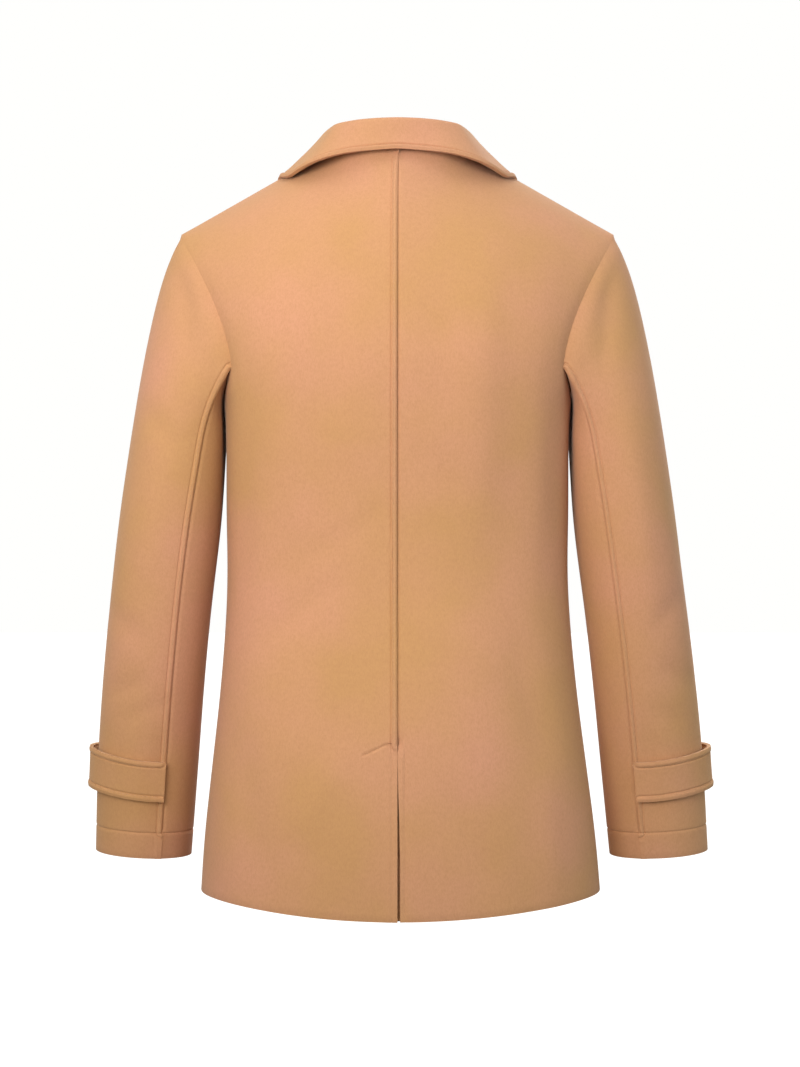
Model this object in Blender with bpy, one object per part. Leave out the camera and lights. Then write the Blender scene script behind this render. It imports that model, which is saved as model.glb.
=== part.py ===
"""A short single-breasted wool coat, hollow, as its wearer fills it.

Metres, +Z up. The back of the coat faces -Y and its front faces +Y, so the wearer's
left is at -X. The origin lies between the shoulders, where the wearer carries the coat.
Every cut piece is a closed wall: points on the outside of the cloth, and the same points
moved in by the thickness. Neighbouring pieces share their seam's points, and each piece
is then drawn back from the seam by half of SEAM_GAP.
"""

import bmesh
import bpy
import numpy as np
from math import cos, pi, radians, sin
from mathutils import Matrix, Vector
from mathutils.bvhtree import BVHTree

# ---------------------------------------------------------------- driving dimensions

CLOTH = 0.0025                # thickness of the wool cloth
COLLAR_CLOTH = 0.0035         # collar: two layers and an interlining
TAB_CLOTH = 0.0040            # cuff tab: two layers, slightly padded
SEAM_GAP = 0.0003             # air between two pieces at a seam
LAY_GAP = 0.0008              # air under a piece that lies on another
WELT = 0.0012                 # height of a lapped, topstitched seam
WELT_WIDTH = 0.0058           # from a seam or an edge to its topstitching
WELT_FOOT = 0.0015            # from there to where the cloth lies flat again
SLEEVE_WELT = 0.0010          # height of the elbow seam's welt, which is flatter
LAPEL_WELT = 0.0007           # height of the lapel's stitched edge
TAB_WELT = 0.0006             # and of the cuff tab's
SAME = 1e-6                   # points nearer than this are one point

HEM = -0.7636                 # height of the hem at the sides and the front
HEM_DIP = 0.0122              # the back hem hangs lower at its centre
HEM_DIP_SIDE = 1.12           # share of the way round at which it stops hanging lower
VENT_TOP = -0.602             # height at which the centre-back seam ends
VENT_STEPS = (0.008, 0.016)   # heights above it of the two rows over which the layers part
UNDERLAP = 0.045              # width of the vent's hidden layer
UNDERLAP_EDGE = 0.008         # its column nearest the seam
OVERLAP_STEP = 0.0040         # how far a covered layer steps in, or a covering one out

SHOULDER_TIP = (0.2295, 0.0, -0.0715)
NECK_HALF_WIDTH = 0.083
NECK_BACK = 0.066             # depth of the neckline behind the shoulder seams
NECK_FRONT = 0.090            # and in front of them, had it gone on round to the centre
NECK_HEIGHT = 0.012           # height of the shoulder seam where it meets the neckline
RIDGE_PULL = 0.230            # how flat the cloth runs over the shoulders
RIDGE_LIFT = 0.055            # how much it still rises as it gets there
PANEL_RISE = (1.20, 1.50)     # how straight it starts upward, at the middle edge and armhole
RIDGE_RISE = 0.058            # how much higher the shoulders' line would run at the centre
ROLL_RIDGE = 0.052            # how far out the roll line would meet that line

SWING = 0.032                 # how much wider the wearer's right side hangs, at the hem
SWING_FROM = -0.420           # height at which it starts to

UNDERARM = -0.247             # lowest height of the armhole
BACK_CORNER = (-0.080, -0.219)     # depth and height where the armhole turns up, behind
FRONT_CORNER = (0.072, -0.215)     # and in front

BUTTON_STAND = 0.022          # the fronts reach this far past the centre line
BREAK = -0.300                # height at which the lapel starts to fold back
ROLL_TOP = (0.051, -0.030)    # how far out, and how high, the roll line ends at the neck
GORGE_SLOPE = 35.0            # degrees that the lapel's top edge falls outward
LAPEL_TOP = 0.092             # length of that edge
BUTTON_HEIGHTS = (-0.325, -0.430, -0.535)
BUTTON_RADIUS = 0.0125
TAB_BUTTON_RADIUS = 0.0100

SEAM_ANGLE = 117.0            # elbow and forearm seams, degrees round from the outer side
SLEEVE_START = -0.290         # height at which the sleeve is a plain tube
CUFF_TILT = 0.060             # how fast the sleeve's sections rise towards the outer side
SLEEVE_CLEAR = 0.0030         # air between the sleeve and the coat's side
SIDE_SOFT = 0.004             # how softly it is pressed flat there

TAB_HALF_WIDTH = 0.0210
TAB_START = 108.5             # degrees round the sleeve, just clear of the elbow seam's welt
TAB_END = -78.0
TAB_HEIGHT = -0.6480          # middle of the tab at its sewn end
TAB_RISE = 0.0080             # how much higher its middle is at the outer side
TAB_STAND_OFF = 0.0018        # how far it stands off the sleeve there
TAB_BUTTON_IN = 14.0          # degrees from its free end to its button


class Table:
    """A short table with named columns. The first column is the place of each row."""

    def __init__(self, names, rows):
        self.names = names.split()
        self.rows = np.array(rows, dtype=float)

    def at(self, name, place):
        """A column's value at a place, on a smooth curve through its rows."""
        keys = self.rows[:, 0]
        values = self.rows[:, self.names.index(name)]
        slopes = np.gradient(values, keys)
        place = float(np.clip(place, keys[0], keys[-1]))
        low = int(np.clip(np.searchsorted(keys, place) - 1, 0, len(keys) - 2))
        span = keys[low + 1] - keys[low]
        start, end = slopes[low] * span, slopes[low + 1] * span
        return hermite(values[low], values[low + 1], start, end, (place - keys[low]) / span)


# Level sections of the body. Squareness 2 is an ellipse, and more is boxier.
BODY = Table("height half_width back front squareness", (
    (-0.7800, 0.2090, 0.1440, 0.1440, 2.40),
    (-0.7150, 0.2050, 0.1420, 0.1410, 2.40),
    (-0.6300, 0.1960, 0.1370, 0.1370, 2.40),
    (-0.5450, 0.1870, 0.1270, 0.1330, 2.40),
    (-0.4390, 0.1805, 0.1130, 0.1300, 2.45),
    (-0.3650, 0.1815, 0.1140, 0.1320, 2.60),
    (-0.2900, 0.1810, 0.1230, 0.1350, 2.90),
    (-0.2190, 0.1840, 0.1300, 0.1340, 3.20),
))

# Level sections of the sleeve: its middle, and its half sizes across and fore and aft.
SLEEVE = Table("height out forward across deep", (
    (-0.7310, 0.2735, 0.0320, 0.0520, 0.0540),
    (-0.6300, 0.2670, 0.0200, 0.0543, 0.0560),
    (-0.5450, 0.2597, 0.0080, 0.0544, 0.0580),
    (-0.4600, 0.2508, 0.0000, 0.0543, 0.0600),
    (-0.3750, 0.2400, -0.0040, 0.0552, 0.0640),
    (-0.2900, 0.2262, -0.0030, 0.0565, 0.0700),
))

# The collar, by degrees round the neck from the centre back: how high its fold stands,
# how far the fold leans out past the neck seam, and where the fall's lower edge lies.
COLLAR = Table("turn fold_height lean edge_out edge_forward edge_height", (
    (0.0, 0.0408, 0.0020, 0.0000, -0.0810, 0.0063),
    (30.0, 0.0402, 0.0010, 0.0613, -0.0750, 0.0013),
    (60.0, 0.0380, 0.0000, 0.1013, -0.0500, -0.0085),
    (75.0, 0.0358, -0.0010, 0.1160, -0.0290, -0.0137),
    (90.0, 0.0320, -0.0030, 0.1240, -0.0040, -0.0100),
    (108.0, 0.0150, -0.0020, 0.1280, 0.0310, -0.0220),
    (126.0, -0.0180, 0.0000, 0.1190, 0.0660, -0.0410),
))

# The lapel, by its share of the way up the roll line: how wide it is there, and how
# steeply its rows fall outward.
LAPEL = Table("share width slope", (
    (0.00, 0.003, 8.0),
    (0.10, 0.017, 11.0),
    (0.30, 0.041, 17.0),
    (0.60, 0.068, 25.0),
    (0.85, 0.085, 31.0),
    (1.00, LAPEL_TOP, GORGE_SLOPE),
))

# Soft troughs in the back. Each runs from one place to another, and fades to all sides.
TROUGHS = Table("number from_x from_z to_x to_z width depth", (
    (1, 0.118, -0.150, 0.112, -0.420, 0.034, 0.0045),
    (2, 0.105, -0.420, 0.150, -0.700, 0.040, 0.0030),
    (3, -0.085, -0.120, -0.100, -0.400, 0.034, 0.0028),
    (4, -0.120, -0.420, -0.060, -0.600, 0.040, 0.0026),
    (5, -0.020, -0.480, -0.110, -0.730, 0.036, 0.0022),
))


# ---------------------------------------------------------------- curves

UP = np.array((0.0, 0.0, 1.0))
CURVE_SAMPLES = 61
SECTION_SAMPLES = 181


def hermite(start, end, leave, arrive, share):
    """Cubic between two values or points, with the slopes it leaves and arrives with."""
    square, cube = share ** 2, share ** 3
    return ((2 * cube - 3 * square + 1) * start + (cube - 2 * square + share) * leave
            + (3 * square - 2 * cube) * end + (cube - square) * arrive)


def ease(value, low, high):
    """0 below low, 1 above high, and smooth between."""
    share = np.clip((value - low) / (high - low), 0.0, 1.0)
    return share * share * (3 - 2 * share)


def between(start, end, share):
    """Straight blend of two points."""
    return np.asarray(start, float) * (1 - share) + np.asarray(end, float) * share


def trough_depth(x, z):
    """How far the back of the coat sinks at a place."""
    total = 0.0
    for _, from_x, from_z, to_x, to_z, width, depth in TROUGHS.rows:
        run = np.array((to_x - from_x, to_z - from_z))
        offset = np.array((x - from_x, z - from_z))
        along = float(offset @ run / (run @ run))
        across = float(offset @ (run[1], -run[0]) / np.hypot(*run))
        fade = ease(along, -0.25, 0.35) * ease(-along, -1.25, -0.65)
        total += depth * fade * np.exp(-(across / width) ** 2)
    return total


# ---------------------------------------------------------------- the body's form

def body_section(height, face):
    """A quarter of a level section, from the centre line to the side, with its lengths."""
    angles = np.linspace(0.0, pi / 2, SECTION_SAMPLES)
    power = 2 / BODY.at("squareness", height)
    out = BODY.at("half_width", height) * np.sin(angles) ** power
    away = BODY.at(face, height) * np.cos(angles) ** power
    lengths = np.concatenate(([0.0], np.cumsum(np.hypot(np.diff(out), np.diff(away)))))
    return out, away, lengths


def body_point(height, distance, face):
    """The point at a distance round a section from the centre line, for the +X half."""
    out, away, lengths = body_section(height, face)
    x = np.copysign(np.interp(abs(distance), lengths, out), distance)
    y = np.interp(abs(distance), lengths, away)
    return np.array((x, -y if face == "back" else y, height))


def body_length(height, face, depth=0.0):
    """Distance round a section from the centre line to where its depth falls to a value."""
    out, away, lengths = body_section(height, face)
    return float(np.interp(-depth, -away, lengths))


def body_half_width(height, y):
    """How wide the body is at a height and a depth, for what hangs beside it."""
    face = "back" if y < 0 else "front"
    share = min(abs(y) / BODY.at(face, height), 1.0)
    power = BODY.at("squareness", height)
    return BODY.at("half_width", height) * (1 - share ** power) ** (1 / power)


def roll_x(height):
    """How far out from the centre line the lapel folds back, at a height."""
    return -BUTTON_STAND + (ROLL_TOP[0] + BUTTON_STAND) * (height - BREAK) / (ROLL_TOP[1] - BREAK)


def armhole_low(y, corner):
    """Height of the armhole under the arm, where it lies on the body's side."""
    return UNDERARM + (corner[1] - UNDERARM) * abs(y / corner[0]) ** 3


def armhole_high(corner_point, face, share):
    """The armhole from its lower corner up to the shoulder tip."""
    away = -1 if face == "back" else 1
    scoop = 0.0 if face == "back" else -0.010
    tip = np.array(SHOULDER_TIP)
    low_handle = corner_point + np.array((0.001 + scoop, 0.010 * away, 0.055))
    high_handle = tip + np.array((-0.004, 0.040 * away, -0.015))
    back = 1 - share
    return (back ** 3 * corner_point + 3 * back ** 2 * share * low_handle
            + 3 * back * share ** 2 * high_handle + share ** 3 * tip)


# Columns of a body panel, from its middle edge outward. Those up to the neck point end on
# the neckline, the next ones on the shoulder seam, and the side ones under the arm.
NECK_COLUMNS = {"back": 4, "front": 2}
WELT_COLUMNS = 2              # beside the middle edge: the topstitching and the welt's foot
SHOULDER_COLUMNS = 6
SIDE_COLUMNS = 4
LOW_ROWS = 10                 # from the vent's top to the armhole's corner
VENT_ROWS = 5
HIGH_ROWS = 8                 # from there to the shoulder seam
NECK_SHARE = {"back": 0.42, "front": 0.22}
PANEL_REACH = 0.2             # about how far it is round from the middle edge to the corner


def column_shares(face):
    """Shares of the way from the middle edge to the armhole's corner, then past it."""
    neck = np.linspace(0.0, NECK_SHARE[face], NECK_COLUMNS[face] + 1)
    shoulder = np.linspace(NECK_SHARE[face], 1.0, SHOULDER_COLUMNS + 1)[1:]
    side = np.linspace(1.0, 2.0, SIDE_COLUMNS + 1)[1:]
    welt = (WELT_WIDTH / PANEL_REACH, (WELT_WIDTH + WELT_FOOT) / PANEL_REACH)
    shares = list(neck[:1]) + list(welt) + list(neck[1:]) + list(shoulder) + list(side)
    return np.array(shares)


def ridge_point(face, share):
    """Where a column would end on the shoulders' line, if no neckline were cut."""
    split = NECK_SHARE[face]
    if share >= split:
        neck_end = (NECK_HALF_WIDTH, 0.0, NECK_HEIGHT)
        return between(neck_end, SHOULDER_TIP, (share - split) / (1 - split))
    inner = 0.0 if face == "back" else ROLL_RIDGE
    x = inner + (NECK_HALF_WIDTH - inner) * share / split
    slope = (SHOULDER_TIP[2] - NECK_HEIGHT) / (SHOULDER_TIP[0] - NECK_HALF_WIDTH)
    inward = NECK_HALF_WIDTH - x
    curve = (RIDGE_RISE + slope * NECK_HALF_WIDTH) / NECK_HALF_WIDTH ** 2
    return np.array((x, 0.0, NECK_HEIGHT - slope * inward + curve * inward ** 2))


def ridge_direction(face):
    """The way in which the cloth runs as it reaches that line."""
    away = 1 if face == "back" else -1
    return np.array((0.0, RIDGE_PULL * away, RIDGE_LIFT))


def inside_neck(point, face):
    """Below 1 within the neckline's oval, and above 1 outside it."""
    depth = NECK_BACK if face == "back" else NECK_FRONT
    return (point[0] / NECK_HALF_WIDTH) ** 2 + (point[1] / depth) ** 2


def column_curve(face, share, start, corner_point, reach):
    """A column's curve from the armhole's height up, cut off at the neckline."""
    end = ridge_point(face, share)
    arrive = ridge_direction(face)
    edge_end = np.array(SHOULDER_TIP)
    rise = UP * (end[2] - start[2]) * between(*PANEL_RISE, share)
    edge_rise = UP * (edge_end[2] - corner_point[2]) * PANEL_RISE[1]
    samples = []
    for along in np.linspace(0.0, 1.0, CURVE_SAMPLES):
        plain = hermite(start, end, rise, arrive, along)
        edge_plain = hermite(corner_point, edge_end, edge_rise, arrive, along)
        edge = armhole_high(corner_point, face, along)
        samples.append(plain + share ** 3 * (edge - edge_plain))
    samples = np.array(samples)
    if share < NECK_SHARE[face] - SAME:
        oval = np.array([inside_neck(sample, face) for sample in samples])
        first = int(np.argmax(oval < 1.0))
        part = (oval[first - 1] - 1.0) / (oval[first - 1] - oval[first])
        cut = between(samples[first - 1], samples[first], part)
        samples = np.vstack((samples[:first], cut))
        places = np.append(np.arange(first), first - 1 + part) / (first - 1 + part)
    else:
        places = np.linspace(0.0, 1.0, len(samples))
    return np.array([np.interp(reach, places, samples[:, axis]) for axis in range(3)]).T


def middle_edge(face, height):
    """Distance round the section from the centre line to the panel's middle edge."""
    if face == "back":
        return 0.0
    if height <= BREAK:
        return -BUTTON_STAND
    return roll_x(height)


def body_grid(face):
    """Outside points of the +X half of the back or the front, as rows of columns."""
    corner = BACK_CORNER if face == "back" else FRONT_CORNER
    dip = HEM_DIP if face == "back" else 0.0
    shares = column_shares(face)
    central = int(np.sum(shares <= 1.0 + SAME))
    vent = np.linspace(0.0, 1.0, VENT_ROWS + 1)
    low = np.linspace(0.0, 1.0, LOW_ROWS + 1)[1:]
    rows = 1 + VENT_ROWS + 1 + LOW_ROWS + HIGH_ROWS
    grid = np.zeros((rows, len(shares), 3))
    corner_row = VENT_ROWS + 1 + LOW_ROWS
    for column, share in enumerate(shares):
        side_share = max(share - 1.0, 0.0)
        y_here = corner[0] * (1 - side_share)
        top = corner[1] if share <= 1.0 else armhole_low(y_here, corner)
        for row in range(corner_row + 1):
            hem = HEM - dip * (1 - min(share / HEM_DIP_SIDE, 1.0) ** 2) ** 2
            if row <= VENT_ROWS:
                height = hem + (VENT_TOP - hem) * vent[row]
            elif row == VENT_ROWS + 1:
                height = VENT_TOP + VENT_STEPS[0]
            else:
                height = VENT_TOP + (top - VENT_TOP) * low[row - VENT_ROWS - 2]
                height = max(height, VENT_TOP + VENT_STEPS[1])
            if share <= 1.0:
                to_corner = body_length(min(height, corner[1]), face, abs(corner[0]))
                distance = between(middle_edge(face, height), to_corner, share)
            else:
                distance = body_length(height, face, abs(y_here))
            grid[row, column] = body_point(height, distance, face)
    reach = np.arange(1, HIGH_ROWS + 1) / HIGH_ROWS
    corner_point = grid[corner_row, central - 1].copy()
    for column in range(central):
        start = grid[corner_row, column].copy()
        grid[corner_row + 1:, column] = column_curve(face, shares[column], start, corner_point, reach)
    return grid, shares, central, corner_row


# ---------------------------------------------------------------- closed walls

def grid_cells(rows, columns, keep=None):
    """The cells of a grid, as corner index pairs, that keep(row, column) lets through."""
    cells = []
    for row in range(rows - 1):
        for column in range(columns - 1):
            if keep is None or keep(row, column):
                cells.append(((row, column), (row, column + 1), (row + 1, column + 1), (row + 1, column)))
    return cells


class Piece:
    """One cut piece: its outside points, the cells that join them, and its thickness.

    lift says how far the outside and the inside of the wall are raised at a point.
    """

    def __init__(self, name, grid, cells, thickness, outward=1):
        self.name = name
        self.grid = grid
        self.cells = cells if outward > 0 else [tuple(reversed(cell)) for cell in cells]
        self.thickness = thickness
        self.keys = sorted({corner for cell in self.cells for corner in cell})
        self.lift = {}

    def point(self, key):
        return self.grid[key]


SMALL = 1e-9                  # lengths and areas under this have no direction
SHARPEST = 0.35               # how little a border's sides may agree at a corner


def point_name(point):
    """A key that is equal for the shared points of neighbouring pieces."""
    return tuple(int(round(value / SAME)) for value in point)


def shared_normals(pieces):
    """Outward direction at each point, averaged over all the pieces that meet there."""
    totals = {}
    for piece in pieces:
        for cell in piece.cells:
            corners = [piece.point(key) for key in cell]
            normal = np.cross(corners[2] - corners[0], corners[3] - corners[1])
            size = np.linalg.norm(normal)
            if size < SMALL ** 2:
                continue
            for corner in corners:
                name = point_name(corner)
                totals[name] = totals.get(name, np.zeros(3)) + normal / size
    return {name: total / max(np.linalg.norm(total), SMALL) for name, total in totals.items()}


def edge_uses(cells):
    """How many cells use each directed side."""
    uses = {}
    for cell in cells:
        for start, end in zip(cell, cell[1:] + cell[:1]):
            uses[(start, end)] = uses.get((start, end), 0) + 1
    return uses


def drawn_back(piece, normals):
    """Outside points, with those on the piece's border drawn back from the seam."""
    uses = edge_uses(piece.cells)
    border = [side for side in uses if (side[1], side[0]) not in uses]
    inward = {}
    for start, end in border:
        run = piece.point(end) - piece.point(start)
        for key in (start, end):
            across = np.cross(normals[point_name(piece.point(key))], run)
            size = np.linalg.norm(across)
            if size > SMALL:
                inward[key] = inward.get(key, []) + [across / size]
    points = {}
    for key in piece.keys:
        point = piece.point(key).copy()
        if key in inward:
            sides = inward[key]
            total = sum(sides)
            step = total / max(float(total @ total) / len(sides), SHARPEST)
            point = point + step * SEAM_GAP / 2
        points[key] = point
    return points, border


def wall_mesh(piece, normals):
    """Vertices and faces of a piece: its outside, its inside and its border."""
    points, border = drawn_back(piece, normals)
    outside, inside, vertices = {}, {}, []
    for key in piece.keys:
        normal = normals[point_name(piece.point(key))]
        lift = piece.lift.get(key, (0.0, 0.0))
        outside[key] = len(vertices)
        vertices.append(points[key] + normal * lift[0])
        inside[key] = len(vertices)
        vertices.append(points[key] + normal * (lift[1] - piece.thickness))
    faces = []
    for cell in piece.cells:
        faces.append([outside[key] for key in cell])
        faces.append([inside[key] for key in reversed(cell)])
    for start, end in border:
        faces.append([outside[end], outside[start], inside[start], inside[end]])
    return vertices, faces


# ---------------------------------------------------------------- materials and objects

def finish_material(name, color, roughness):
    material = bpy.data.materials.new(name)
    material.use_nodes = True
    shader = material.node_tree.nodes["Principled BSDF"]
    shader.inputs["Base Color"].default_value = (*color, 1.0)
    shader.inputs["Roughness"].default_value = roughness
    shader.inputs["Metallic"].default_value = 0.0
    return material


def hang(point):
    """A point where it hangs: the wearer's right side swings out a little, lower down."""
    x, y, z = point
    if x > 0:
        x *= 1 + SWING * max(0.0, (SWING_FROM - z) / (SWING_FROM - HEM))
    return x, y, z


def make_object(name, vertices, faces, material):
    """A named object from points and faces, cut into triangles, with soft shading."""
    mesh = bpy.data.meshes.new(name)
    mesh.from_pydata([hang(vertex) for vertex in vertices], [], faces)
    work = bmesh.new()
    work.from_mesh(mesh)
    bmesh.ops.triangulate(work, faces=work.faces)
    work.to_mesh(mesh)
    work.free()
    mesh.materials.append(material)
    mesh.shade_smooth()
    mesh.set_sharp_from_angle(angle=radians(40))
    thing = bpy.data.objects.new(name, mesh)
    bpy.context.scene.collection.objects.link(thing)
    return thing


def mirrored(grid):
    """The same points on the wearer's left."""
    return grid * np.array((-1.0, 1.0, 1.0))


def sink_back(grid):
    """The back's points with its soft troughs, which die out towards its edges."""
    sunk = grid.copy()
    for index in np.ndindex(grid.shape[:2]):
        x, y, z = grid[index]
        inner = 1 - ease(abs(x), 0.150, 0.185)
        sunk[index][1] += trough_depth(x, z) * inner * ease(-y, 0.03, 0.08)
    return sunk


# ---------------------------------------------------------------- body panels

def panel_cells(grid, central, corner_row):
    def keep(row, column):
        return row < corner_row or column < central - 1
    return grid_cells(grid.shape[0], grid.shape[1], keep)


def back_pieces(body):
    """Two back panels. Below the seam the left covers the right's underlap."""
    grid, _, central, corner_row = body
    left = Piece("back_left", sink_back(mirrored(grid)), panel_cells(grid, central, corner_row),
                 CLOTH, outward=-1)
    for key in left.keys:
        if key[1] < WELT_COLUMNS and key[0] < grid.shape[0] - 1:
            left.lift[key] = (WELT, 0.0)
    distances = (UNDERLAP, UNDERLAP / 2, UNDERLAP_EDGE)
    hidden = np.zeros((grid.shape[0], len(distances), 3))
    for row in range(VENT_ROWS + 1):
        for column, distance in enumerate(distances):
            hidden[row, column] = body_point(grid[row, 0][2], -distance, "back")
    wide = np.concatenate((hidden, grid), axis=1)
    extra = hidden.shape[1]

    def keep(row, column):
        if column < extra:
            return row < VENT_ROWS
        return row < corner_row or column - extra < central - 1

    right = Piece("back_right", sink_back(wide), grid_cells(wide.shape[0], wide.shape[1], keep),
                  CLOTH)
    for key in right.keys:
        row, column = key
        if row <= VENT_ROWS and column <= extra:
            right.lift[key] = (-OVERLAP_STEP, -OVERLAP_STEP)
        elif row <= VENT_ROWS and column == extra + 1:
            right.lift[key] = (-OVERLAP_STEP * 0.5, -OVERLAP_STEP * 0.5)
    return left, right


OVER_FROM = (-0.050, -0.024)  # how far out the left front starts to step over the right
OVER_TO = (-0.20, -0.12)      # and the heights between which that dies out, upward


def front_pieces(body):
    """Two fronts. The wearer's left lies over the right at the middle."""
    grid, _, central, corner_row = body
    cells = panel_cells(grid, central, corner_row)
    left = Piece("front_left", mirrored(grid), cells, CLOTH, outward=1)
    right = Piece("front_right", grid, cells, CLOTH, outward=-1)
    for key in left.keys:
        x, _, z = left.point(key)
        over = ease(x, *OVER_FROM) * (1 - ease(z, *OVER_TO))
        if over > 0:
            left.lift[key] = (OVERLAP_STEP * over, OVERLAP_STEP * over)
    return left, right


# ---------------------------------------------------------------- sleeves

def sleeve_point(height, angle):
    """A point of the plain tube, by degrees round from the outer side towards the back."""
    turn = radians(angle)
    across = SLEEVE.at("across", height) * cos(turn)
    x = SLEEVE.at("out", height) + across
    y = SLEEVE.at("forward", height) - SLEEVE.at("deep", height) * sin(turn)
    z = height + CUFF_TILT * across
    side = body_half_width(z, y) + SLEEVE_CLEAR
    x = (x + side + ((x - side) ** 2 + SIDE_SOFT ** 2) ** 0.5) / 2
    return np.array((x, y, z))


def armhole_loop(back, front):
    """The armhole's points, once round: tip, back, underarm, front, and the tip again."""
    back_grid, _, central, corner_row = back
    front_grid = front[0]
    top = back_grid.shape[0] - 1
    front_central = front[2]
    down_back = [back_grid[row, central - 1] for row in range(top, corner_row, -1)]
    under_back = [back_grid[corner_row, column] for column in range(central - 1, back_grid.shape[1])]
    under_front = [front_grid[corner_row, column]
                   for column in range(front_grid.shape[1] - 2, front_central - 2, -1)]
    up_front = [front_grid[row, front_central - 1] for row in range(corner_row + 1, top + 1)]
    return np.array(down_back + under_back + under_front + up_front)


SLEEVE_ROWS = 13              # from the cuff to where the sleeve is no longer a plain tube
CAP_ROWS = 7                  # from there to the armhole
CAP_LEAVE = 1.05              # how straight it leaves the tube, as a share of its length
CAP_ARRIVE = (0.35, 0.42)     # and how straight it meets the armhole, at its inner and outer side
CAP_SLOPE = (0.25, 0.80)      # how steeply it rises there


def sleeve_angles():
    """Degrees round the tube for each of the armhole's points."""
    high = np.linspace(0.0, SEAM_ANGLE, HIGH_ROWS + 1)
    low = np.linspace(SEAM_ANGLE, 180.0, SIDE_COLUMNS + 1)[1:]
    first = np.concatenate((high, low))
    return np.concatenate((first, 360.0 - first[::-1][1:]))


def sleeve_grid(loop):
    """The +X sleeve's outside points: rows from the cuff up, columns round the tube."""
    angles = sleeve_angles()
    cuff = SLEEVE.rows[0][0]
    grid = np.zeros((SLEEVE_ROWS + CAP_ROWS + 1, len(angles), 3))
    for column, angle in enumerate(angles):
        for row in range(SLEEVE_ROWS + 1):
            height = cuff + (SLEEVE_START - cuff) * row / SLEEVE_ROWS
            grid[row, column] = sleeve_point(height, angle)
        start, end = grid[SLEEVE_ROWS, column], loop[column]
        reach = np.linalg.norm(end - start)
        below = start - grid[SLEEVE_ROWS - 1, column]
        leave = below / np.linalg.norm(below) * reach * CAP_LEAVE
        outer = (1 + cos(radians(angle))) / 2
        way = np.array((-0.80, 0.0, float(between(*CAP_SLOPE, outer))))
        arrive = way * reach * between(*CAP_ARRIVE, outer)
        for row in range(1, CAP_ROWS + 1):
            share = row / CAP_ROWS
            grid[SLEEVE_ROWS + row, column] = hermite(start, end, leave, arrive, share)
    return grid


def with_welt(grid):
    """The same sheet, with two more columns beside its last one for a topstitched edge."""
    edge, inner = grid[:, -1], grid[:, -2]
    run = inner - edge
    size = np.linalg.norm(run, axis=1, keepdims=True)
    stitched = edge + run / size * WELT_WIDTH
    foot = edge + run / size * (WELT_WIDTH + WELT_FOOT)
    return np.concatenate((grid[:, :-1], foot[:, None], stitched[:, None], edge[:, None]), axis=1)


def sleeve_pieces(loop):
    """Top and under sleeve on each side, split at the elbow and forearm seams."""
    grid = sleeve_grid(loop)
    columns = grid.shape[1]
    elbow, forearm = HIGH_ROWS, columns - 1 - HIGH_ROWS
    order = list(range(forearm, columns - 1)) + list(range(0, elbow + 1))
    top = with_welt(grid[:, order])
    under = grid[:, elbow:forearm + 1]
    pieces = []
    for side, flip in (("left", -1), ("right", 1)):
        for name, part in (("top_sleeve_", top), ("under_sleeve_", under)):
            points = mirrored(part) if side == "left" else part
            piece = Piece(name + side, points, grid_cells(*part.shape[:2]), CLOTH, outward=-flip)
            if part is top:
                for row in range(top.shape[0] - 1):
                    for column in range(top.shape[1] - WELT_COLUMNS, top.shape[1]):
                        piece.lift[(row, column)] = (SLEEVE_WELT, 0.0)
            pieces.append(piece)
    return pieces


# ---------------------------------------------------------------- collar

class Ground:
    """The outside of some pieces, for what lies on them."""

    def __init__(self, pieces, normals):
        vertices, faces = [], []
        for piece in pieces:
            index = {}
            for key in piece.keys:
                index[key] = len(vertices)
                point = piece.point(key)
                lift = piece.lift.get(key, (0.0, 0.0))[0]
                vertices.append(Vector(point + normals[point_name(point)] * lift))
            faces += [[index[key] for key in cell] for cell in piece.cells]
        self.tree = BVHTree.FromPolygons(vertices, faces)

    def at(self, x, z):
        """The frontmost point at a place seen from the front, and its outward direction."""
        place, normal, _, _ = self.tree.ray_cast(Vector((x, 0.6, z)), Vector((0, -1, 0)))
        if place is None:
            place, normal, _, _ = self.tree.find_nearest(Vector((x, 0.15, z)))
        return np.array(place), np.array(normal)

    def over(self, point, height):
        """The place at a height straight out from the surface, nearest to a point."""
        place, normal, _, _ = self.tree.find_nearest(Vector(point))
        return np.array(place + normal * height), float((Vector(point) - place).dot(normal))


COLLAR_STEP = 9.5             # degrees round the neck between two sections of the collar
ROLL_RADIUS = 0.0058          # of the collar's fold, on its outside
LOWEST_STAND = 0.0105         # how high the fold stands where it meets the lapel
COLLAR_GAP = 0.0026           # air under the fall where it lies on the shoulder
NOTCH_SHARE = 0.55            # how far out on the collar's front edge the notch lies
NOTCH_DROP = 0.018            # how far that edge dips there to meet the lapel
FALL_HOLLOW = 0.0012          # how far the fall dips between its roll and its edge
SETTLE = (88.0, 116.0)        # degrees round between which the fall comes to lie on the front
NOTCH_FROM = 112.0            # degrees round from which its edge dips to the notch


# Points of the fold, from the stand over to the fall, as shares of its radius: how far
# below its top, and how far out.
ROLL = ((1.0, -0.9), (0.30, -0.62), (0.22, 0.55), (0.75, 0.95))


def neck_seam(back, front):
    """The +X half of the neckline from the centre back, and degrees round for each point."""
    top = back[0].shape[0] - 1
    from_back = [back[0][top, column] for column in range(len(back[1]))
                 if back[1][column] <= NECK_SHARE["back"] + SAME]
    from_front = [front[0][top, column] for column in range(len(front[1]))
                  if front[1][column] < NECK_SHARE["front"] - SAME]
    seam = (from_back[:1] + from_back[1 + WELT_COLUMNS:]
            + from_front[:WELT_COLUMNS:-1] + from_front[:1])
    turns = []
    for x, y, _ in seam:
        depth = NECK_BACK if y <= 0 else NECK_FRONT
        turns.append(90.0 + np.degrees(np.arctan2(y / depth, x / NECK_HALF_WIDTH)))
    return np.array(seam), np.array(turns)


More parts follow.
